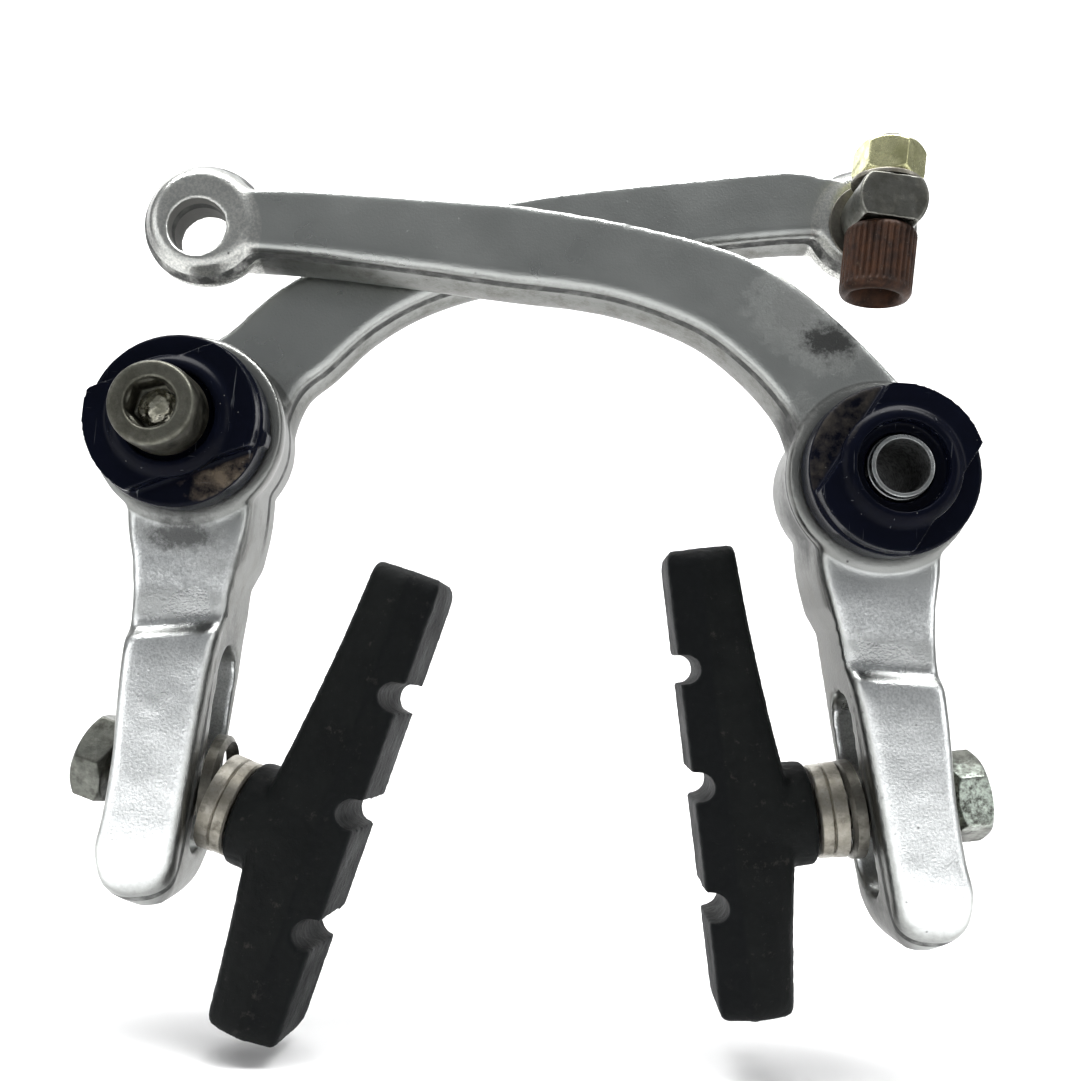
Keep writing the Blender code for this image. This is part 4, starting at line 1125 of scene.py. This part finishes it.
def rust_look(name):
    """Rusted steel: red-brown and dark scale, pale where the flutes have been handled."""
    look = Look(name)
    scale = look.noise(1.6, 5.0, 0.7)
    fine = look.noise(0.3, 3.0, 0.7)
    base = look.mix(look.ramp(scale, 0.36, 0.64), (0.060, 0.026, 0.013), (0.020, 0.011, 0.008))
    base = look.mix(look.ramp(look.noise(0.8, 4.0, 0.8), 0.60, 0.72, 0.0, 0.6), base, (0.16, 0.105, 0.07))
    look.bump(scale, 0.5, 0.12)
    look.bump(fine, 0.5, 0.06)
    return look.finish(base, look.ramp(scale, 0.3, 0.7, 0.42, 0.68), 0.35, Specular_IOR_Level=0.25)


def plain_stage(name, colour):
    look = Look(name)
    tone = look.mix(look.noise(60.0, 2.0), colour, [c * 0.985 for c in colour])
    return look.finish(tone, 0.9, 0.0)


# camera, floor and light


def add_camera():
    data = bpy.data.cameras.new("camera")
    data.lens = CAMERA_LENS
    data.sensor_width = SENSOR_WIDTH
    data.sensor_fit = "HORIZONTAL"
    data.clip_start = 0.005
    camera = bpy.data.objects.new("camera", data)
    camera.location = Vector(CAMERA_AT) * MM
    camera.rotation_euler = [math.radians(a) for a in CAMERA_TURN]
    bpy.context.scene.collection.objects.link(camera)
    bpy.context.scene.camera = camera


def add_stage():
    """A pale floor that curves up into a backdrop."""
    floor = cad_box[0][2] / MM - 1.5
    back, radius, half = 260.0, 120.0, 900.0
    line = [(-900.0, floor), (back - radius, floor)]
    for i in range(1, 13):
        t = math.pi / 2 * i / 12
        line.append((back - radius + radius * math.sin(t), floor + radius * (1 - math.cos(t))))
    line.append((back, floor + 900.0))
    bm = bmesh.new()
    rows = [[bm.verts.new((x, y, z)) for y, z in line] for x in (-half, half)]
    for i in range(1, len(line)):
        bm.faces.new((rows[0][i - 1], rows[1][i - 1], rows[1][i], rows[0][i]))
    stage = place_mesh("stage", bm)
    stage.data.shade_smooth()
    stage.data.materials.append(plain_stage("pale_stage", (0.93, 0.93, 0.93)))


def add_light(name, at, look_at, size, power):
    data = bpy.data.lights.new(name, "AREA")
    data.shape = "RECTANGLE"
    data.size, data.size_y = size[0] * MM, size[1] * MM
    data.energy = power
    light = bpy.data.objects.new(name, data)
    light.location = Vector(at) * MM
    light.rotation_euler = (Vector(look_at) - Vector(at)).to_track_quat("-Z", "Y").to_euler()
    bpy.context.scene.collection.objects.link(light)


def add_lights():
    world = bpy.data.worlds.new("studio")
    world.use_nodes = True
    background = world.node_tree.nodes["Background"]
    background.inputs["Color"].default_value = (0.96, 0.98, 1.0, 1.0)
    background.inputs["Strength"].default_value = 0.28
    bpy.context.scene.world = world
    add_light("low_front_softbox", (-60, -420, -190), (0, 0, -20), (520, 240), 0.8)
    add_light("left_window", (-420, -260, 60), (0, 0, 0), (200, 340), 0.4)
    add_light("right_window", (420, -220, 120), (0, 0, 0), (160, 300), 0.4)
    add_light("top_softbox", (0, -40, 460), (0, 40, 0), (420, 300), 1.5)
    add_light("backdrop_wash", (0, -60, 330), (0, 260, 40), (600, 120), 3.0)
    bpy.context.scene.view_settings.view_transform = "Standard"


add_camera()
add_stage()
add_lights()

RIGHT_PIVOT = joint_at("right_arm_swing")
LEFT_PIVOT = joint_at("left_arm_swing")
RIGHT_EYE = Vector((RIGHT_PIVOT.x - FRONT_EYE[0], 0, FRONT_EYE[1]))
LEFT_EYE = LEFT_PIVOT + turn_y(-REAR_ARM_TURN) @ Vector((REAR_EYE[0], 0, REAR_EYE[1]))
# the last colour of each arm is the painted shade on its legs' sides
alloy = {
    "right": alloy_look("right_forged_alloy", FRONT_STAINS, RIGHT_PIVOT, RIGHT_EYE, EYE_HOLE_R,
                        FRONT_ARM_Y[0] + 1.5, (0.075, 0.076, 0.070)),
    "left": alloy_look("left_forged_alloy", REAR_STAINS, LEFT_PIVOT, LEFT_EYE, POST_HOLE_R,
                       REAR_ARM_Y[0] + 1.5, (0.125, 0.128, 0.12)),
}
cap_look = {
    "right": cap_material("right_gloss_plastic", RIGHT_PIVOT, RIGHT_CAP_PATCH),
    "left": cap_material("left_gloss_plastic", LEFT_PIVOT, LEFT_CAP_PATCH),
}
# the sleeves get painted shade inside their bores
sleeve_look = {
    "right": metal_look("right_sleeve_steel", *SLEEVE_TONES, bore=RIGHT_PIVOT),
    "left": metal_look("left_sleeve_steel", *SLEEVE_TONES, bore=LEFT_PIVOT),
}
bolt_look = metal_look("bolt_zinc", *BOLT_TONES, paint_side_shade=True)
crust_look = metal_look("corroded_bright_zinc", *CRUST_TONES)
washer_look = metal_look("dark_washer_steel", *WASHER_TONES)
collar_look = metal_look("stained_washer_zinc", *COLLAR_TONES)
stud_look = metal_look("stud_zinc", *STUD_TONES)
nut_look = {
    "right": metal_look("right_nut_zinc", *NUT_TONES, bloom=stud_frame("right") @ Vector((9.0, -5.0, 0.5))),
    "left": metal_look("left_nut_zinc", *NUT_TONES),
}
post_look = metal_look("anchor_post_zinc", *POST_TONES)
yellow_look = metal_look("yellow_passivated_zinc", *YELLOW_TONES)
spring_look = metal_look("oiled_spring_wire", *SPRING_TONES)
barrel_look = rust_look("rusted_barrel_steel")
rubber = {"right": rubber_look("right_pad_rubber", -1), "left": rubber_look("left_pad_rubber", 1)}

make_arm("right", 1, FRONT_STATIONS, FRONT_ARM_Y, FRONT_EYE, FRONT_EYE_Y, EYE_RAISED, EYE_HOLE_R, 0.0)
make_arm("left", -1, REAR_STATIONS, REAR_ARM_Y, REAR_EYE, REAR_EYE_Y, 0.0, POST_HOLE_R, -REAR_ARM_TURN)
for word, side in (("right", 1), ("left", -1)):
    make_cap(word)
    make_sleeve(word)
    make_pad(word)
    make_stud(word)
    make_washers(word, side)
    make_pad_nut(word, side)
make_bolt()
make_socket_crust()
make_anchor_post()
make_barrel()
make_tube()
kept_nodes = {
    "right_return_spring": spring_look, "left_return_spring": spring_look,
    "right_pad_outer_domed_washer": washer_look, "left_pad_outer_domed_washer": washer_look,
    "anchor_retaining_ring": washer_look,
}
for node, look in kept_nodes.items():
    kept = frame["nodes"][node]
    kept.data.materials.clear()
    kept.data.materials.append(look)
